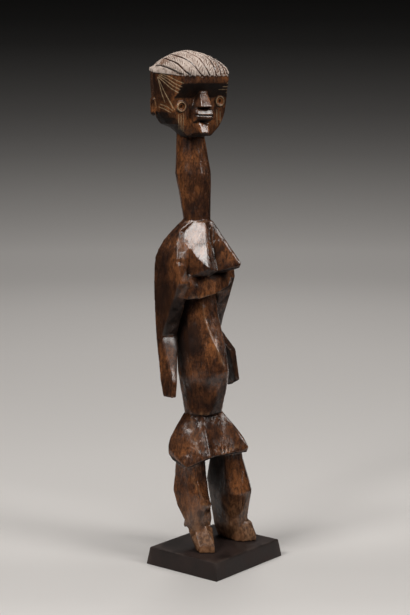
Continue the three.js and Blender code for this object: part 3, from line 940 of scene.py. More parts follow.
class Surface:
    """Finds where lines drawn on the carving lie on its surface."""

    def __init__(self, obj: bpy.types.Object, camera: PhotoCamera) -> None:
        """Takes the object that is drawn on, and the photograph's camera."""
        self.tree = BVHTree.FromObject(obj, bpy.context.evaluated_depsgraph_get())
        self.camera = camera

    def hit(self, origin: Vector, direction: Vector) -> np.ndarray | None:
        """The first point of the surface on a ray, in mm, or None."""
        found = self.tree.ray_cast(origin, direction)[0]
        return None if found is None else np.array(found) / MM

    def hits(self, rays: Iterable[tuple[Vector, Vector]]) -> Path:
        """The first point of the surface on each ray, in mm, without the rays that miss."""
        found = [self.hit(*ray) for ray in rays]
        return [point for point in found if point is not None]

    def seen(self, line: Line) -> Path:
        """A line through pixels of the photograph, on the surface that shows there.

        Args:
            line: The line's points in pixels.

        Returns:
            Points on the surface, in mm.
        """
        dense: Line = []
        for (u0, v0), (u1, v1) in zip(line, line[1:]):
            steps = max(2, int(math.hypot(u1 - u0, v1 - v0) / 0.8))
            dense += [(u0 + (u1 - u0) * i / steps, v0 + (v1 - v0) * i / steps) for i in range(steps)]
        origin = self.camera.place()
        return self.hits((origin, self.camera.sight(u, v)) for u, v in [*dense, line[-1]])

    def spots(self, marks: Rows) -> list[tuple]:
        """Spots marked in the photograph, on the surface that shows there.

        Args:
            marks: The pixel of each spot's middle, and whatever else is told of it.

        Returns:
            The middle of each spot in mm, and the rest as it was.
        """
        place = self.camera.place()
        found = [(self.hit(place, self.camera.sight(u, v)), *rest) for u, v, *rest in marks]
        return [spot for spot in found if spot[0] is not None]

    def across(self, points: Path) -> Path:
        """The same line on the other side of the head.

        Args:
            points: Points on the surface, in mm.

        Returns:
            Their mirror images on the surface, in mm.
        """
        if not points:
            return []
        beyond = 25.0
        local = HEAD.inward(np.array(points)) * np.array([-1.0, 1.0, 1.0])
        side = np.sign(local[:, 0])[:, None] * np.array([[1.0, 0.0, 0.0]])
        outside = HEAD.outward(local + side * beyond)
        aims = HEAD.outward(local) - outside
        return self.hits((Vector(o * MM), Vector(a).normalized()) for o, a in zip(outside, aims))

    def onward(self, points: Path) -> Path:
        """A line of hair carried on from its last point over the crown to the nape.

        Args:
            points: Points on the surface, in mm.

        Returns:
            The same points and the new ones after them.
        """
        if not points:
            return []
        steps, nape = 40, 172.0  # the last angle above the front, in degrees
        depth, height = HAIR_AXIS
        x, y, z = HEAD.inward(np.array(points[-1:]))[0]
        start = math.degrees(math.atan2(z - height, depth - y)) + 2.0
        rays = []
        for aside, angle in zip(np.linspace(x, 0.85 * x, steps), np.radians(np.linspace(start, nape, steps))):
            outer = (aside, depth - math.cos(angle), height + math.sin(angle))
            inner, outer = HEAD.outward(np.array([(aside, depth, height), outer]))
            rays.append((Vector(inner * MM), Vector(outer - inner).normalized()))
        return points + self.hits(rays)


def guide_object(name: str, lines: list[Path]) -> bpy.types.Object:
    """Makes an object of plain edges from lines.

    Args:
        name: The object's name.
        lines: Points in mm, in order along each line. Lines of a single point are left out.

    Returns:
        The object, linked to the scene.
    """
    mesh = bpy.data.meshes.new(name)
    points, edges = [], []
    for line in lines:
        if len(line) > 1:
            start = len(points)
            points += [tuple(p * MM) for p in line]
            edges += [(start + i, start + i + 1) for i in range(len(line) - 1)]
    mesh.from_pydata(points, edges, [])
    return linked(name, mesh)


@dataclass
class StandingFigure:
    """The carved figure.

    Spots are told by a pixel of the photograph and a radius in mm, and then by how much, from 0 to 1.

    Attributes:
        voxel: Size of the first remesh, in mm.
        faces: Most triangles of the finished piece.
        hairline: Height of the hair's front edge above the soles, in mm.
        nape_slope: Rise of that edge towards the nape.
        ring: Middle radius of an eye's ring, in mm.
        eyes: Sideways place and height of each eye in the head's frame, in mm.
        rays: How many ways each point looks for shelter.
        lost: Spots where the clay has worn off.
        dim: Spots of painted shade, where the wood is laid darker.
        glow: Spots of painted light, where the wood is laid warmer.
        dull: Where its polish has gone.
        calm: Broad cuts without smaller ones on them.
        knee: Where the near knee is rounded off.
    """

    voxel: float = 0.62
    faces: int = 196_000
    hairline: float = 477.5
    nape_slope: float = 0.09
    ring: float = 4.5
    eyes: tuple[tuple[float, float], ...] = ((-22.6, 447.2), (21.5, 452.4))
    rays: int = 20
    lost: Rows = (
        (187, 55.5, 6, 0.35), (176, 56, 8, 0.55), (165, 60.5, 8, 0.95), (212.5, 62.5, 5.5, 0.75),
        (217, 69, 6, 0.5), (226, 71, 5, 0.5), (180, 72, 3, 0.5),
    )
    # Spots of painted shade
    dim: Rows = (
        (153.5, 78, 8, 1), (218, 84, 12, 0.7), (155, 88, 9, 1), (200, 88, 12, 0.7),
        (165, 92, 19, 0.95), (156, 99, 10, 0.9), (164, 116, 13, 1), (196, 141, 9, 0.8),
        (205.5, 152, 6, 0.6), (177.5, 162, 6, 0.5), (191.5, 190, 7, 0.75), (205, 205, 6, 0.4),
        (189, 206, 8, 0.7), (162, 262, 20, 0.75), (196, 272, 9, 0.5), (224, 274, 9, 0.6),
        (163, 300, 30, 1), (174, 310, 16, 0.8), (170, 325, 22, 0.8), (191, 330, 15, 0.95),
        (190, 345, 20, 0.95), (232, 365, 16, 0.7), (163, 380, 13, 0.5), (168, 386, 12, 0.6),
        (200, 396, 22, 0.55), (206, 424, 8, 0.5), (178, 438, 20, 0.5), (201, 477, 8, 0.7),
        (219, 478, 14, 0.6), (220, 510, 12, 0.5), (201, 514, 6, 0.8),
    )
    # Spots of painted light, laid on as warm amber
    glow: Rows = (
        (177, 99, 7, 0.35), (217, 119, 9, 0.9), (186, 124, 9, 0.5), (193, 160, 9, 0.7),
        (202, 170, 7, 0.6), (180, 172, 5, 0.5), (198, 190, 6, 0.6), (171, 242, 11, 0.6),
        (229, 254, 11, 0.8), (208, 290, 14, 0.4), (204, 312, 7, 0.8), (209, 328, 7, 0.8),
        (214, 344, 7, 0.8), (220, 358, 7, 0.8), (230, 450, 12, 0.7), (178, 452, 10, 0.4),
        (199, 452, 7, 0.8), (237, 487, 14, 0.4), (184, 505, 12, 0.4), (200, 505, 7, 0.9),
        (236, 508, 10, 0.5),
    )
    dull: Rows = (
        (219.5, 100.5, 5, 1), (181.5, 106, 5, 1), (191.5, 108.5, 4, 1), (198, 142, 7, 1),
        (196, 240, 26, 0.22), (205, 282, 13, 1), (224, 282, 10, 0.8), (174, 310, 26, 0.6),
        (240, 310, 22, 0.7), (168, 355, 22, 0.55), (163, 380, 13, 0.5), (200, 400, 26, 0.8),
        (200, 419, 5, 1), (188, 419, 7, 0.8), (180, 422, 12, 1), (203.5, 427, 4.5, 0.8),
        (174, 430, 16, 1), (232, 430, 13, 0.65), (214, 432, 15, 0.8), (181, 447, 14, 1),
        (178, 500, 30, 0.6), (230, 500, 26, 0.5), (232, 505, 20, 1),
    )
    calm: Rows = (
        (206, 100, 11), (204, 116, 11), (204, 130, 10), (195, 234, 15), (199, 254, 13),
        (191, 425, 9), (197, 436, 10), (203, 447, 8),
    )
    knee: Rows = ((206.5, 511, 9),)

    # Scored lines in pixels of the photograph, read off its near side
    TEMPLE = (
        [(159.6, 73), (169.3, 76.5), (176.8, 80.6), (183.5, 83.2)],
        [(159.3, 74.3), (168, 78.8), (174.9, 83.6), (181.8, 86.8)],
        [(158.6, 75.6), (166.1, 80.6), (173, 85.9), (180.2, 89.6)],
        [(158.3, 77.1), (164.3, 82.4), (171.1, 88.4), (178.4, 92.6)],
        [(157.5, 77), (161.1, 91.5), (164.9, 102.4)],
        [(158.9, 80), (163, 89), (168, 99), (173, 108.4)],
        [(161.8, 86.5), (165.5, 94), (171.1, 103.5), (174.4, 109.6)],
        [(159.9, 104), (166.8, 106.5), (172.4, 110.4)],
        [(158.8, 106.8), (164.9, 109.2), (170.8, 112.6)],
    )
    CHEEKS = (
        [(178.6, 114.6), (178.9, 129.6)],
        [(181.2, 115.2), (181, 130.6)],
        [(183.8, 113.6), (183, 131.5)],
        [(216.8, 109.6), (217.3, 125.3)],
        [(220.2, 111.5), (220.4, 124.6)],
    )
    # Drying cracks, the first of them a hairline across the near breast
    CRACKS = (
        [(183, 241.2), (190, 241.6), (197, 244.2), (203, 244), (208.5, 245.9)],
        [(189.6, 104.5), (190.2, 119)],
        [(209.4, 226), (210.4, 244), (211.2, 262)],
        [(213.2, 229), (213.8, 244), (214.8, 259)],
        [(195.5, 470), (197, 484), (199.5, 497)],
        [(243, 470), (241.5, 488), (242.5, 506)],
    )
    # Lines of painted highlight along edges and flats, laid on in the pale colour of rubbed wood
    PAINTED_HIGHLIGHTS = (
        [(199.5, 414.1), (204, 414.4), (208.5, 414.3)],
        [(190.5, 419.5), (192.3, 427.5), (194.1, 436.5), (196.4, 445.5), (198.2, 453)],
        [(201.5, 304), (205.5, 320), (210.5, 334), (216.5, 348), (224.5, 367)],
        [(219.5, 452), (229, 449.5), (240, 446)],
        [(191, 297.5), (205, 297), (224, 291)],
        [(181, 238), (182, 250), (183.5, 262)],
        [(186.5, 221.5), (197, 222), (207, 221.8)],
        [(199.5, 503), (207, 505.5)],
        [(191.5, 476), (198.5, 490), (206, 504)],
        [(154.2, 97.5), (156.4, 107.5)],
    )
    # Partings between the rows of hair, from the brow up to the skyline, the near braid's groove first
    PARTINGS = (
        [(183, 74.9), (178, 73), (172.2, 69.8), (166.4, 66.6), (160.7, 65), (155.4, 65.3)],
        [(190.5, 75.2), (187.8, 73.1), (182.9, 68.8), (178, 63.9), (173.8, 61.4), (168.5, 59.6)],
        [(202.6, 76), (200.2, 73.1), (196, 67.2), (191.1, 62.2), (185.5, 58.8), (177.5, 55.8)],
        [(210, 75.5), (207.6, 69.8), (203.5, 63.3), (199.3, 58), (194, 54.6), (188.5, 52.6)],
        [(216.6, 75.5), (215.8, 71.8), (213.8, 65.7), (210.6, 60.4), (206.5, 56.6), (201, 53.6)],
        [(221.1, 74.8), (220.7, 70.7), (218.3, 64.6), (215, 60.6), (212, 58), (209, 56.4)],
        [(224.6, 74.2), (224.2, 70.2), (221.9, 65.6), (219.4, 62.6), (217.2, 60.8), (215.4, 59.8)],
        [(227.3, 74), (227, 71.5), (225.8, 68.8), (224, 66.4), (222.2, 64.6), (220.4, 63.2)],
    )
    # The slit of the mouth, and the nicks in the hem of the far hip
    NOTCHES = (
        [(195.6, 115), (204, 116), (212.4, 116.3)],
        [(221.3, 448.5), (221.8, 452.8)],
        [(224.6, 447.4), (225.1, 451.8)],
        [(228.3, 446.2), (228.8, 450.6)],
    )

    def build(self, camera: PhotoCamera, finish: bpy.types.Material) -> bpy.types.Object:
        """Makes the finished piece.

        Args:
            camera: The photograph's camera, which the scored lines are read through.
            finish: The figure's material.

        Returns:
            The piece, in place.
        """
        piece = self._block()
        surface = Surface(piece, camera)
        names = ("lost", "dim", "glow", "dull", "calm", "knee")
        spots = {name: surface.spots(getattr(self, name)) for name in names}
        self._wear(piece, spots)
        self._cut(piece, camera, finish)
        self._thin(piece)
        self._mark(piece, spots)
        piece.data.shade_smooth()
        return piece

    @staticmethod
    def _around(points: np.ndarray, spots: list[tuple], drift: np.ndarray | float = 0.0) -> np.ndarray:
        """How near each point is to the middle of the nearest spot.

        Args:
            points: Points in mm, one row each.
            spots: Middle and radius of each spot in mm, and how much it counts where that isn't 1.
            drift: What is added to each point's distance, which makes the spots ragged.

        Returns:
            The nearness of each point, from 0 to 1.
        """
        core = 0.45  # share of the radius inside which a spot counts in full
        found = np.zeros(len(points))
        for place, radius, *amount in spots:
            away = np.linalg.norm(points - place, axis=1) + drift
            share = amount[0] if amount else 1.0
            found = np.maximum(found, share * smooth(away, radius, core * radius))
        return found

    def _block(self) -> bpy.types.Object:
        """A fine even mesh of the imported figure.

        Returns:
            The mesh's object.
        """
        mesh, work = packed("figure")
        work.to_mesh(mesh)
        work.free()
        piece = linked("carved_figure", mesh)
        remesh = piece.modifiers.new("even", "REMESH")
        remesh.mode = "VOXEL"
        remesh.voxel_size = self.voxel * MM
        self._apply(piece)
        LOG.info("figure block: %d points", len(piece.data.vertices))
        return piece

    @staticmethod
    def _apply(piece: bpy.types.Object) -> None:
        """Turns the piece with its modifiers into a plain mesh, and removes them.

        Args:
            piece: The piece.
        """
        graph = bpy.context.evaluated_depsgraph_get()
        graph.update()
        made = bpy.data.meshes.new_from_object(
            piece.evaluated_get(graph), preserve_all_data_layers=True, depsgraph=graph
        )
        piece.modifiers.clear()
        piece.data = made

    def _above_hairline(self, head: np.ndarray) -> np.ndarray:
        """Height above the edge of the hair.

        Args:
            head: Points in the head's frame.

        Returns:
            The height of each point, in mm.
        """
        rise = np.maximum(head[:, 1] + 30.0, 0.0) * self.nape_slope
        front = smooth(head[:, 1], -26.0, -31.0)
        scallop = 0.5 * np.sin(head[:, 0] * 1.15 + 0.6) + 0.25 * np.sin(head[:, 0] * 2.7)
        return head[:, 2] - self.hairline - rise - front * scallop

    def _wear(self, piece: bpy.types.Object, spots: dict[str, list[tuple]]) -> None:
        """Rounds the arrises, and lays on the knife's planes, dents and the rot of the near foot.

        Args:
            piece: The figure as an even mesh.
            spots: The spots by name: those that stay plain, and those that are rounded off.
        """
        shape = Shape(piece.data)
        head = HEAD.inward(shape.points)
        body = BODY.inward(shape.points)
        on_head = smooth(head[:, 2], 414.0, 420.0)
        hair = smooth(self._above_hairline(head), 1.4, 4.0)
        shape.melt(26, hair)
        plain = self._around(shape.points, spots["calm"])
        shape.melt(40, self._around(shape.points, spots["knee"]))
        hips = smooth(body[:, 2], 98.0, 104.0) * smooth(body[:, 2], 137.0, 131.0)
        shape.melt(16, 0.9 * hips * (1.0 - plain))
        face = smooth(head[:, 1], -16.0, -24.0) * smooth(head[:, 2], 416.0, 420.0)
        shape.melt(7, 0.85 * face * smooth(head[:, 2], 474.0, 471.0))
        brow = smooth(head[:, 2], 459.0, 461.0) * smooth(head[:, 2], 469.0, 467.0)
        shape.melt(16, 0.85 * face * brow)
        shape.melt(2, 0.8 * (1.0 - on_head))
        shape.relax(3)
        shape.save()

        wood = (1.0 - hair) * (1.0 - 0.6 * on_head) * (1.0 - 0.88 * plain)
        height = 0.22 * knife_planes(shape.points, (8.0, 8.0, 19.0), 3) * wood
        height += 0.09 * knife_planes(shape.points, (3.6, 3.6, 9.0), 21) * wood
        height += 0.16 * value_noise(shape.points, (14.0, 14.0, 22.0), 5) * wood
        height += 0.05 * value_noise(shape.points, (1.6, 1.6, 4.0), 6)

        arris = smooth(shape.bulge(10), 0.10, 0.45)
        chips = smooth(value_noise(shape.points, (3.2, 3.2, 5.0), 8), 0.35, 0.8)
        height -= 0.75 * chips * arris * wood
        height += self._rot(body)
        height += self._face(head)
        height += self._forearm(body)
        shape.push(height)
        shape.relax(1)
        shape.save()
        bulge = shape.bulge(9)
        shape.store("edge", smooth(bulge, 0.05, 0.34))
        shape.store("hollow", smooth(-bulge, 0.06, 0.36))

    @staticmethod
    def _rot(body: np.ndarray) -> np.ndarray:
        """The ragged end grain under the near heel and the frayed ankle behind it.

        Args:
            body: Points in the body's frame.

        Returns:
            The height to add at each point, in mm.
        """
        near = smooth(body[:, 0], 0.0, -6.0)
        low = smooth(body[:, 2], 34.0, 8.0)
        behind = smooth(body[:, 1], -8.0, 6.0)
        ragged = value_noise(body, (2.6, 2.6, 3.4), 31) + 0.5 * value_noise(body, (1.3, 1.3, 1.8), 32)
        return near * low * behind * (ragged * 0.75 - 0.25)

    def _face(self, head: np.ndarray) -> np.ndarray:
        """The shallow pits inside the eyes and the hollows of the ears.

        Args:
            head: Points in the head's frame.

        Returns:
            The height to add at each point, in mm.
        """
        height = np.zeros(len(head))
        front = smooth(head[:, 1], -16.0, -19.0)
        for x, z in self.eyes:
            away = np.hypot(head[:, 0] - x, head[:, 2] - z)
            height += front * (0.75 * smooth(away, 3.8, 3.0) - 0.9 * smooth(away, 2.2, 0.6))
        side = smooth(np.abs(head[:, 0]), 35.4, 36.2)
        ear = np.hypot((head[:, 1] - 12.2) / 2.3, (head[:, 2] - 447.5) / 5.2)
        return height - 1.2 * side * smooth(ear, 1.0, 0.4)

    @staticmethod
    def _forearm(body: np.ndarray) -> np.ndarray:
        """Fine level cuts down the front of the near forearm, and slanting ones below the navel.

        Args:
            body: Points in the body's frame.

        Returns:
            The height to add at each point, in mm.
        """
        near = smooth(body[:, 0], -36.0, -39.0)
        span = smooth(body[:, 2], 216.0, 210.0) * smooth(body[:, 2], 160.0, 172.0)
        drift = value_noise(body, (6.0, 6.0, 6.0), 41)
        level = np.sin(body[:, 2] * 2.9 + drift * 2.0)
        belly = smooth(body[:, 2], 186.0, 178.0) * smooth(body[:, 2], 140.0, 148.0)
        trunk = smooth(np.abs(body[:, 0] + 3.0), 25.0, 22.0)
        slant = np.sin((body[:, 2] * 0.45 + body[:, 0] * 1.6 - body[:, 1] * 0.6) * 1.5 + drift * 2.2)
        return 0.07 * level * near * span + 0.10 * slant * belly * trunk

    def _cut(self, piece: bpy.types.Object, camera: PhotoCamera, finish: bpy.types.Material) -> None:
        """Cuts the hair and the scored lines, and marks the lines of painted highlight, each along guides
        laid on the surface.

        Args:
            piece: The worn figure.
            camera: The photograph's camera.
            finish: The figure's material.
        """
        surface = Surface(piece, camera)
        line_cut, hatch_cut = CutTree(), HatchTree()
        temples, cheeks, cracks, notches, painted_highlights, partings = (
            [surface.seen(line) for line in lines]
            for lines in (self.TEMPLE, self.CHEEKS, self.CRACKS, self.NOTCHES, self.PAINTED_HIGHLIGHTS, self.PARTINGS)
        )
        guides = []
        for name, rows, spacing, length in self._rows(surface):
            values = {"Spacing": spacing * MM, "Length": length * MM, "Slant": 0.85}
            guides.append(hatch_cut.cut(piece, name, rows, Tool.HATCH.inputs(finish) | values))
        paths = {
            Tool.BRAID: [partings[0], surface.across(partings[0])],
            Tool.PARTING: [surface.onward(line) for line in partings[1:]],
            Tool.SCORE: temples + [surface.across(line) for line in temples] + cheeks,
            Tool.HAIR_CRACK: cracks[:1],
            Tool.SLIT: cracks[1:],
            Tool.NOTCH: notches,
            Tool.SHINE: painted_highlights,
        }
        for tool, lines in paths.items():
            guides.append(line_cut.cut(piece, f"guide_{tool.name.lower()}", lines, tool.inputs(finish)))
        self._apply(piece)
        for guide in guides:
            bpy.data.objects.remove(guide)

    def _rows(self, surface: Surface) -> list[tuple[str, list[list[np.ndarray]], float, float]]:
        """The middle line of each row of hair, broad and narrow rows apart.

        Args:
            surface: The figure's surface.

        Returns:
            A name, the lines, and the spacing and length in mm of the cuts across them.
        """
        rows = []
        for one, other in zip(self.PARTINGS, self.PARTINGS[1:]):
            middle = [((a + c) / 2.0, (b + d) / 2.0) for (a, b), (c, d) in zip(one, other)]
            rows.append(surface.onward(surface.seen(middle)))
        return [("rows_broad", rows[:4], 3.4, 7.0), ("rows_narrow", rows[4:], 3.2, 2.6)]

    def _thin(self, piece: bpy.types.Object) -> None:
        """Takes out faces down to the piece's limit, and last where the head's fine cuts are.

        Args:
            piece: The cut figure.
        """
        shape = Shape(piece.data)
        fine = shape.bulge(4)
        shape.store("ridge", smooth(fine, 0.015, 0.12))
        shape.store("groove", smooth(-fine, 0.015, 0.14))
        head = HEAD.inward(shape.points)
        seen = np.maximum(smooth(self._above_hairline(head), -1.0, 0.0), smooth(head[:, 1], 12.0, 8.0))
        plain = np.flatnonzero(seen * smooth(head[:, 2], 418.0, 422.0) < 0.5)
        group = piece.vertex_groups.new(name="plain")
        group.add(plain.tolist(), 1.0, "REPLACE")
        piece.data.calc_loop_triangles()
        triangles = len(piece.data.loop_triangles)
        thin = piece.modifiers.new("thin", "DECIMATE")
        thin.ratio = min(1.0, self.faces / triangles)
        thin.use_collapse_triangulate = True
        thin.vertex_group = group.name
        self._apply(piece)
        piece.vertex_groups.clear()
        LOG.info("figure: %d triangles of %d kept", len(piece.data.polygons), triangles)

    def _mark(self, piece: bpy.types.Object, spots: dict[str, list[tuple]]) -> None:
        """Keeps on the surface what the material reads: clay, bare wood, eyes, polish, spots of painted
        light, and painted shade in spots, in recesses and on faces turned downwards.

        Args:
            piece: The thinned figure.
            spots: The spots by name: middle and radius in mm, and by how much.
        """
        shape = Shape(piece.data)
        drift = 3.0 * value_noise(shape.points, (5.0, 5.0, 9.0), 81)
        # Spots of painted shade and painted light, and where the polish has gone
        for name in ("dim", "glow", "dull"):
            shape.store(name, self._around(shape.points, spots[name], drift))
        # Painted shade: faces turned downwards, which the material darkens and dulls
        shape.store("under", smooth(shape.normals()[:, 2], -0.08, -0.5))
        head = HEAD.inward(shape.points)
        body = BODY.inward(shape.points)
        shape.store("clay", smooth(self._above_hairline(head), -0.5, 0.5))
        ragged = 2.6 * value_noise(shape.points, (1.9, 1.9, 1.9), 71)
        shape.store("lost", self._around(shape.points, spots["lost"], ragged))
        ring, iris = np.zeros(len(head)), np.zeros(len(head))
        front = smooth(head[:, 1], -17.0, -20.0)
        for x, z in self.eyes:
            away = np.hypot(head[:, 0] - x, head[:, 2] - z)
            ring = np.maximum(ring, front * smooth(np.abs(away - self.ring), 0.85, 0.25))
            iris = np.maximum(iris, front * smooth(away, self.ring, self.ring - 1.2) * smooth(away, 0.6, 2.0))
        shape.store("iris", 0.6 * iris)
        shape.store("score", np.maximum(shape.kept("score"), 0.72 * ring))
        shape.store("bare", smooth(body[:, 2], 64.0, 6.0))
        # Painted shade in recesses, together with their patina
        shape.store("shelter", self._shelter(piece, shape))
        shape.store("calm", self._around(shape.points, spots["calm"]))

    def _shelter(self, piece: bpy.types.Object, shape: Shape) -> np.ndarray:
        """How closed in each point is, from 0 in the open to 1 in a deep recess. The material darkens by it,
        as painted shade together with the patina of the hollows.

        Every ninth point looks around, and the others take the mean of the four nearest of those.

        Args:
            piece: The figure.
            shape: Its points.

        Returns:
            The shelter of each point.
        """
        start, reach = 0.4 * MM, 40.0 * MM
        golden = math.pi * (3.0 - math.sqrt(5.0))
        tree = BVHTree.FromObject(piece, bpy.context.evaluated_depsgraph_get())
        normals = shape.normals()
        picked = np.arange(0, len(shape.points), 9)
        lean = np.sqrt((np.arange(self.rays) + 0.5) / self.rays)
        turns = np.arange(self.rays) * golden
        local = np.stack([lean * np.cos(turns), lean * np.sin(turns), np.sqrt(1.0 - lean**2)], axis=1)
        known = KDTree(len(picked))
        closed = np.zeros(len(picked))
        for i, index in enumerate(picked):
            normal = Vector(normals[index])
            turn = normal.to_track_quat("Z", "Y").to_matrix()
            origin = Vector(shape.points[index] * MM) + normal * start
            hits = sum(tree.ray_cast(origin, turn @ Vector(ray), reach)[0] is not None for ray in local)
            closed[i] = hits / self.rays
            known.insert(Vector(shape.points[index]), i)
        known.balance()
        near = [known.find_n(p, 4) for p in shape.points]
        blended = np.array([sum(closed[i] for _, i, _ in found) / len(found) for found in near])
        return smooth(blended, 0.12, 0.75)


@dataclass
class Plinth:
    """The low painted block under the figure.

    Attributes:
        arris: Width of the softened edges, in mm.
    """

    arris: float = 0.7

    def build(self, finish: bpy.types.Material) -> bpy.types.Object:
        """Makes the finished piece.

        Args:
            finish: The plinth's material.

        Returns:
            The piece, in place.
        """
        mesh, work = packed("plinth")
        bmesh.ops.dissolve_limit(work, angle_limit=math.radians(1.0), verts=work.verts, edges=work.edges)
        outer = [e for e in work.edges if e.calc_face_angle(0.0) > math.radians(30.0)]
        round_off = {"segments": 3, "profile": 0.6, "affect": "EDGES"}
        bmesh.ops.bevel(work, geom=outer, offset=self.arris * MM, **round_off)
        bmesh.ops.triangulate(work, faces=work.faces)
        long = [e for e in work.edges if e.calc_length() > 6.0 * MM]
        bmesh.ops.subdivide_edges(work, edges=long, cuts=7, use_grid_fill=True)
        bmesh.ops.triangulate(work, faces=work.faces)
        bmesh.ops.recalc_face_normals(work, faces=work.faces)
        work.to_mesh(mesh)
        work.free()
        piece = linked("painted_plinth", mesh)
        shape = Shape(mesh)
        low, high = shape.points.min(axis=0), shape.points.max(axis=0)
        warp = 0.12 * value_noise(shape.points, (24.0, 24.0, 12.0), 61) * smooth(shape.points[:, 2], 0.5, 3.0)
        shape.points[:, 2] += np.minimum(warp, 0.0) * (shape.points[:, 2] > high[2] - 0.2)
        shape.save()
        shape.store("edge", self._edges(shape.points, low, high))
        piece.data.materials.append(finish)
        piece.data.shade_smooth()
        normals = piece.modifiers.new("flat_faces", "WEIGHTED_NORMAL")
        normals.keep_sharp = True
        LOG.info("plinth: %d triangles", len(mesh.polygons))
        return piece

    @staticmethod
    def _edges(points: np.ndarray, low: np.ndarray, high: np.ndarray) -> np.ndarray:
        """How near each point is to an upper edge or an upright corner.

        Args:
            points: Points in mm.
            low: The block's lowest corner.
            high: Its highest corner.

        Returns:
            The nearness of each point, from 0 to 1.
        """
        up = high[2] - points[:, 2]
        slope = (points[:, 2] - low[2]) / (high[2] - low[2]) * 3.4
        in_x = high[0] - slope - np.abs(points[:, 0])
        in_y = high[1] - slope - np.abs(points[:, 1])
        top = np.maximum(np.abs(up), np.minimum(in_x, in_y))
        corner = np.maximum(in_x, in_y)
        return np.maximum(smooth(top, 1.8, 0.4), smooth(corner, 1.8, 0.4))


@dataclass(frozen=True)
class SoftBox:
    """One soft studio light.

    Attributes:
        azimuth: Degrees to the right of the camera.
        elevation: Degrees above the horizontal.
        distance: Metres from the figure's middle.
        size: Width and height, in metres.
        power: Watts.
    """

    azimuth: float
    elevation: float
    distance: float
    size: tuple[float, float]
    power: float


class Light(Enum):
    """The studio's lights."""

    UPPER_LEFT = SoftBox(-47.0, 44.0, 1.5, (0.60, 0.60), 14.0)
    RIGHT = SoftBox(62.0, 37.0, 1.5, (0.46, 0.74), 10.0)
    TOP = SoftBox(15.0, 72.0, 1.6, (0.7, 0.7), 5.0)
    BACKDROP = SoftBox(180.0, 50.0, 2.6, (0.9, 0.9), 16.0)

    def make(self, camera: PhotoCamera, target: Vector) -> None:
        """Hangs the light.

        Args:
            camera: The camera that its place is told from.
            target: What it points at.
        """
        box = self.value
        data = bpy.data.lights.new(self.name.lower(), "AREA")
        data.shape = "RECTANGLE"
        data.size, data.size_y = box.size
        data.energy = box.power
        data.color = (1.0, 0.975, 0.945)
        light = linked(self.name.lower(), data)
        way = camera.towards(box.azimuth, box.elevation)
        light.location = target + way * box.distance
        if self is Light.BACKDROP:
            way = Vector((0.0, 0.0, 1.0))  # it hangs over the paper and points straight down
        light.rotation_mode = "QUATERNION"
        light.rotation_quaternion = way.to_track_quat("Z", "Y")


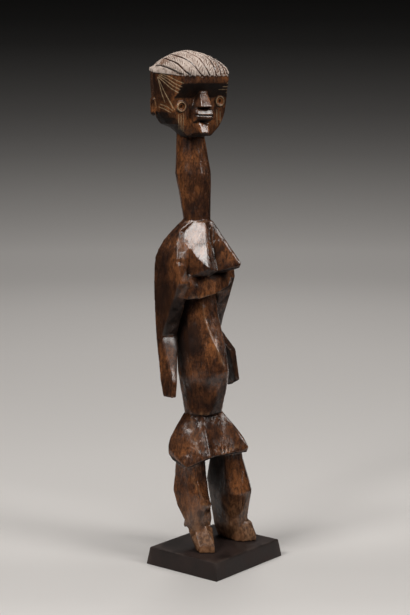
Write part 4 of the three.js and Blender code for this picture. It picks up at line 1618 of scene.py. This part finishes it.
@dataclass
class PaperSweep:
    """The studio's pale floor, a round sheet that sweeps up all round and darkens as it rises, by painted
    shade.

    Only the strip behind the figure is pale far out. To the sides and in front the floor soon darkens, like
    the room beyond a roll of paper.

    Attributes:
        flat: Radius of the level part, in metres.
        bend: Radius of the bend, in metres.
        top: Height of its upper edge, in metres.
        near: How far the pale strip reaches in front of the figure, in metres.
        half_width: Half its width beside the figure, in metres.
        widening: How much wider it gets on each side with each metre behind the figure.
        room: How pale the floor beyond it is.
        tones: How pale the paper is along the sweep, darkened far up by painted shade: metres from the
            middle, and reflectance.
        evened: What that is multiplied by near the figure, painted shade that darkens the paper there: metres
            behind the middle, and factor.
        lifted: Painted light that makes the paper paler where the figure's soft shadow from each light falls:
            the light, the share, and half the shadow's width in metres.
        rings: Rings of points on the level part.
        around: Points in each ring.
    """

    flat: float = 2.3
    bend: float = 1.8
    top: float = 2.2
    near: float = 0.32
    half_width: float = 0.34
    widening: float = 0.16
    room: float = 0.05
    tones: Rows = (
        (0, 0.74), (0.6, 0.765), (1.24, 0.82), (1.8, 0.83), (2.64, 0.8), (3.02, 0.53),
        (3.32, 0.285), (3.48, 0.18), (3.68, 0.096), (3.86, 0.036), (4.01, 0.015), (4.2, 0.01),
    )
    evened: Rows = (
        (-0.2, 0.97), (-0.165, 0.95), (-0.12, 0.89), (-0.03, 0.86), (0.07, 0.92), (0.23, 0.98),
        (0.45, 1),
    )
    lifted: tuple[tuple[Light, float, float], ...] = (
        (Light.UPPER_LEFT, 0.15, 0.14),
        (Light.RIGHT, 0.11, 0.18),
    )
    rings: int = 70
    around: int = 192

    def build(self, camera: PhotoCamera) -> None:
        """Makes the sweep with its material.

        Args:
            camera: The camera that the pale strip runs away from.
        """
        level = np.linspace(0.0, self.flat, self.rings)
        angles = np.radians(np.linspace(4.0, 84.0, 24))
        radius = np.concatenate([level, self.flat + self.bend * np.sin(angles)])
        height = np.concatenate([0.0 * level, self.bend * (1.0 - np.cos(angles))])
        radius, height = np.append(radius, radius[-1]), np.append(height, self.top)
        walked = np.append(0.0, np.cumsum(np.hypot(np.diff(radius), np.diff(height))))
        turns = np.arange(self.around) * 2.0 * math.pi / self.around
        spokes = np.stack([np.cos(turns), np.sin(turns)], axis=1)
        flat = np.maximum(radius, 0.001)[:, None, None] * spokes
        raised = np.broadcast_to(height[:, None, None], (*flat.shape[:2], 1))
        points = np.concatenate([flat, raised], axis=2).reshape(-1, 3)
        a = np.arange(len(points) - self.around).reshape(-1, self.around)
        b = np.roll(a, -1, axis=1)
        faces = np.stack([a, b, b + self.around, a + self.around], axis=2).reshape(-1, 4).tolist()
        mesh = bpy.data.meshes.new("paper_sweep")
        mesh.from_pydata(points.tolist(), [], [*faces, list(range(self.around))])
        tone = mesh.attributes.new("tone", "FLOAT", "POINT")
        tone.data.foreach_set("value", self._tone(camera, points, np.repeat(walked, self.around)))
        mesh.shade_smooth()
        mesh.materials.append(self._paper())
        sweep = linked("paper_sweep", mesh)

    def _tone(self, camera: PhotoCamera, place: np.ndarray, reach: np.ndarray) -> np.ndarray:
        """How pale the sheet is at each of its points, with its painted shade and painted light.

        Args:
            camera: The camera that the pale strip runs away from.
            place: The points, in metres.
            reach: Metres along the sheet from its middle to each point.

        Returns:
            The reflectance at each point.
        """
        away = -np.array(camera.towards(0.0, 0.0))
        right = np.array(camera.towards(90.0, 0.0))
        behind = place @ away
        aside = np.abs(place @ right)
        along, tone = np.array(self.tones).T
        # Painted shade near the figure
        back, factor = np.array(self.evened).T
        pale = np.interp(reach, along, tone) * np.interp(behind, back, factor)
        # Painted light that fills in the figure's soft shadows
        for light, lift, width in self.lifted:
            way = -np.array(camera.towards(light.value.azimuth, 0.0))
            down = place @ way
            off = np.linalg.norm(place - down[:, None] * way, axis=1)
            core = smooth(off, width, 0.02) * smooth(down, 0.04, 0.20) * smooth(down, 0.85, 0.45)
            pale = pale * (1.0 + lift * core)
        beside = aside - self.half_width - self.widening * np.maximum(behind, 0.0)
        share = smooth(beside, 0.30, 0.0) * smooth(-behind - self.near, 0.30, 0.0)
        return np.minimum(pale, self.room + (pale - self.room) * share)

    @staticmethod
    def _paper() -> bpy.types.Material:
        """The paper's material: matt and warm white.

        Returns:
            The material.
        """
        material, sheet = new_material("shaded_paper")
        white = sheet.made("ShaderNodeCombineColor", {0: 1.0, 1: 0.972, 2: 0.950})
        # The tone holds the paper's painted shade and painted light
        colour = sheet.scaled(white, sheet.kept("tone"))
        sheet.shade({"Base Color": colour, "Roughness": 0.95, "Specular IOR Level": 0.1})
        return material


def studio(camera: PhotoCamera) -> None:
    """Makes the camera, the lights, the paper and the dim room around them.

    Args:
        camera: The photograph's camera.
    """
    camera.make()
    middle = Vector((0.0, 0.0, 0.28))
    for light in Light:
        light.make(camera, middle)
    PaperSweep().build(camera)
    world = bpy.data.worlds.new("room")
    world.use_nodes = True
    air = world.node_tree.nodes["Background"].inputs
    air["Color"].default_value = (1.0, 0.97, 0.94, 1.0)
    air["Strength"].default_value = 0.015
    bpy.context.scene.world = world
    bpy.context.scene.view_settings.view_transform = "Standard"


def main() -> None:
    """Builds the studio and the two pieces."""
    logging.basicConfig(level=logging.INFO, format="%(name)s: %(message)s")
    camera = PhotoCamera()
    studio(camera)
    effects = Effects()
    figure = StandingFigure().build(camera, Patina().make(effects))
    plinth = Plinth().build(PlinthPaint().make(effects))
    for piece, node in ((figure, "figure"), (plinth, "plinth")):
        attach(piece, "root")
        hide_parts(node)
        LOG.info("%s stands for %s", piece.name, node)


if __name__ == "__main__":
    main()
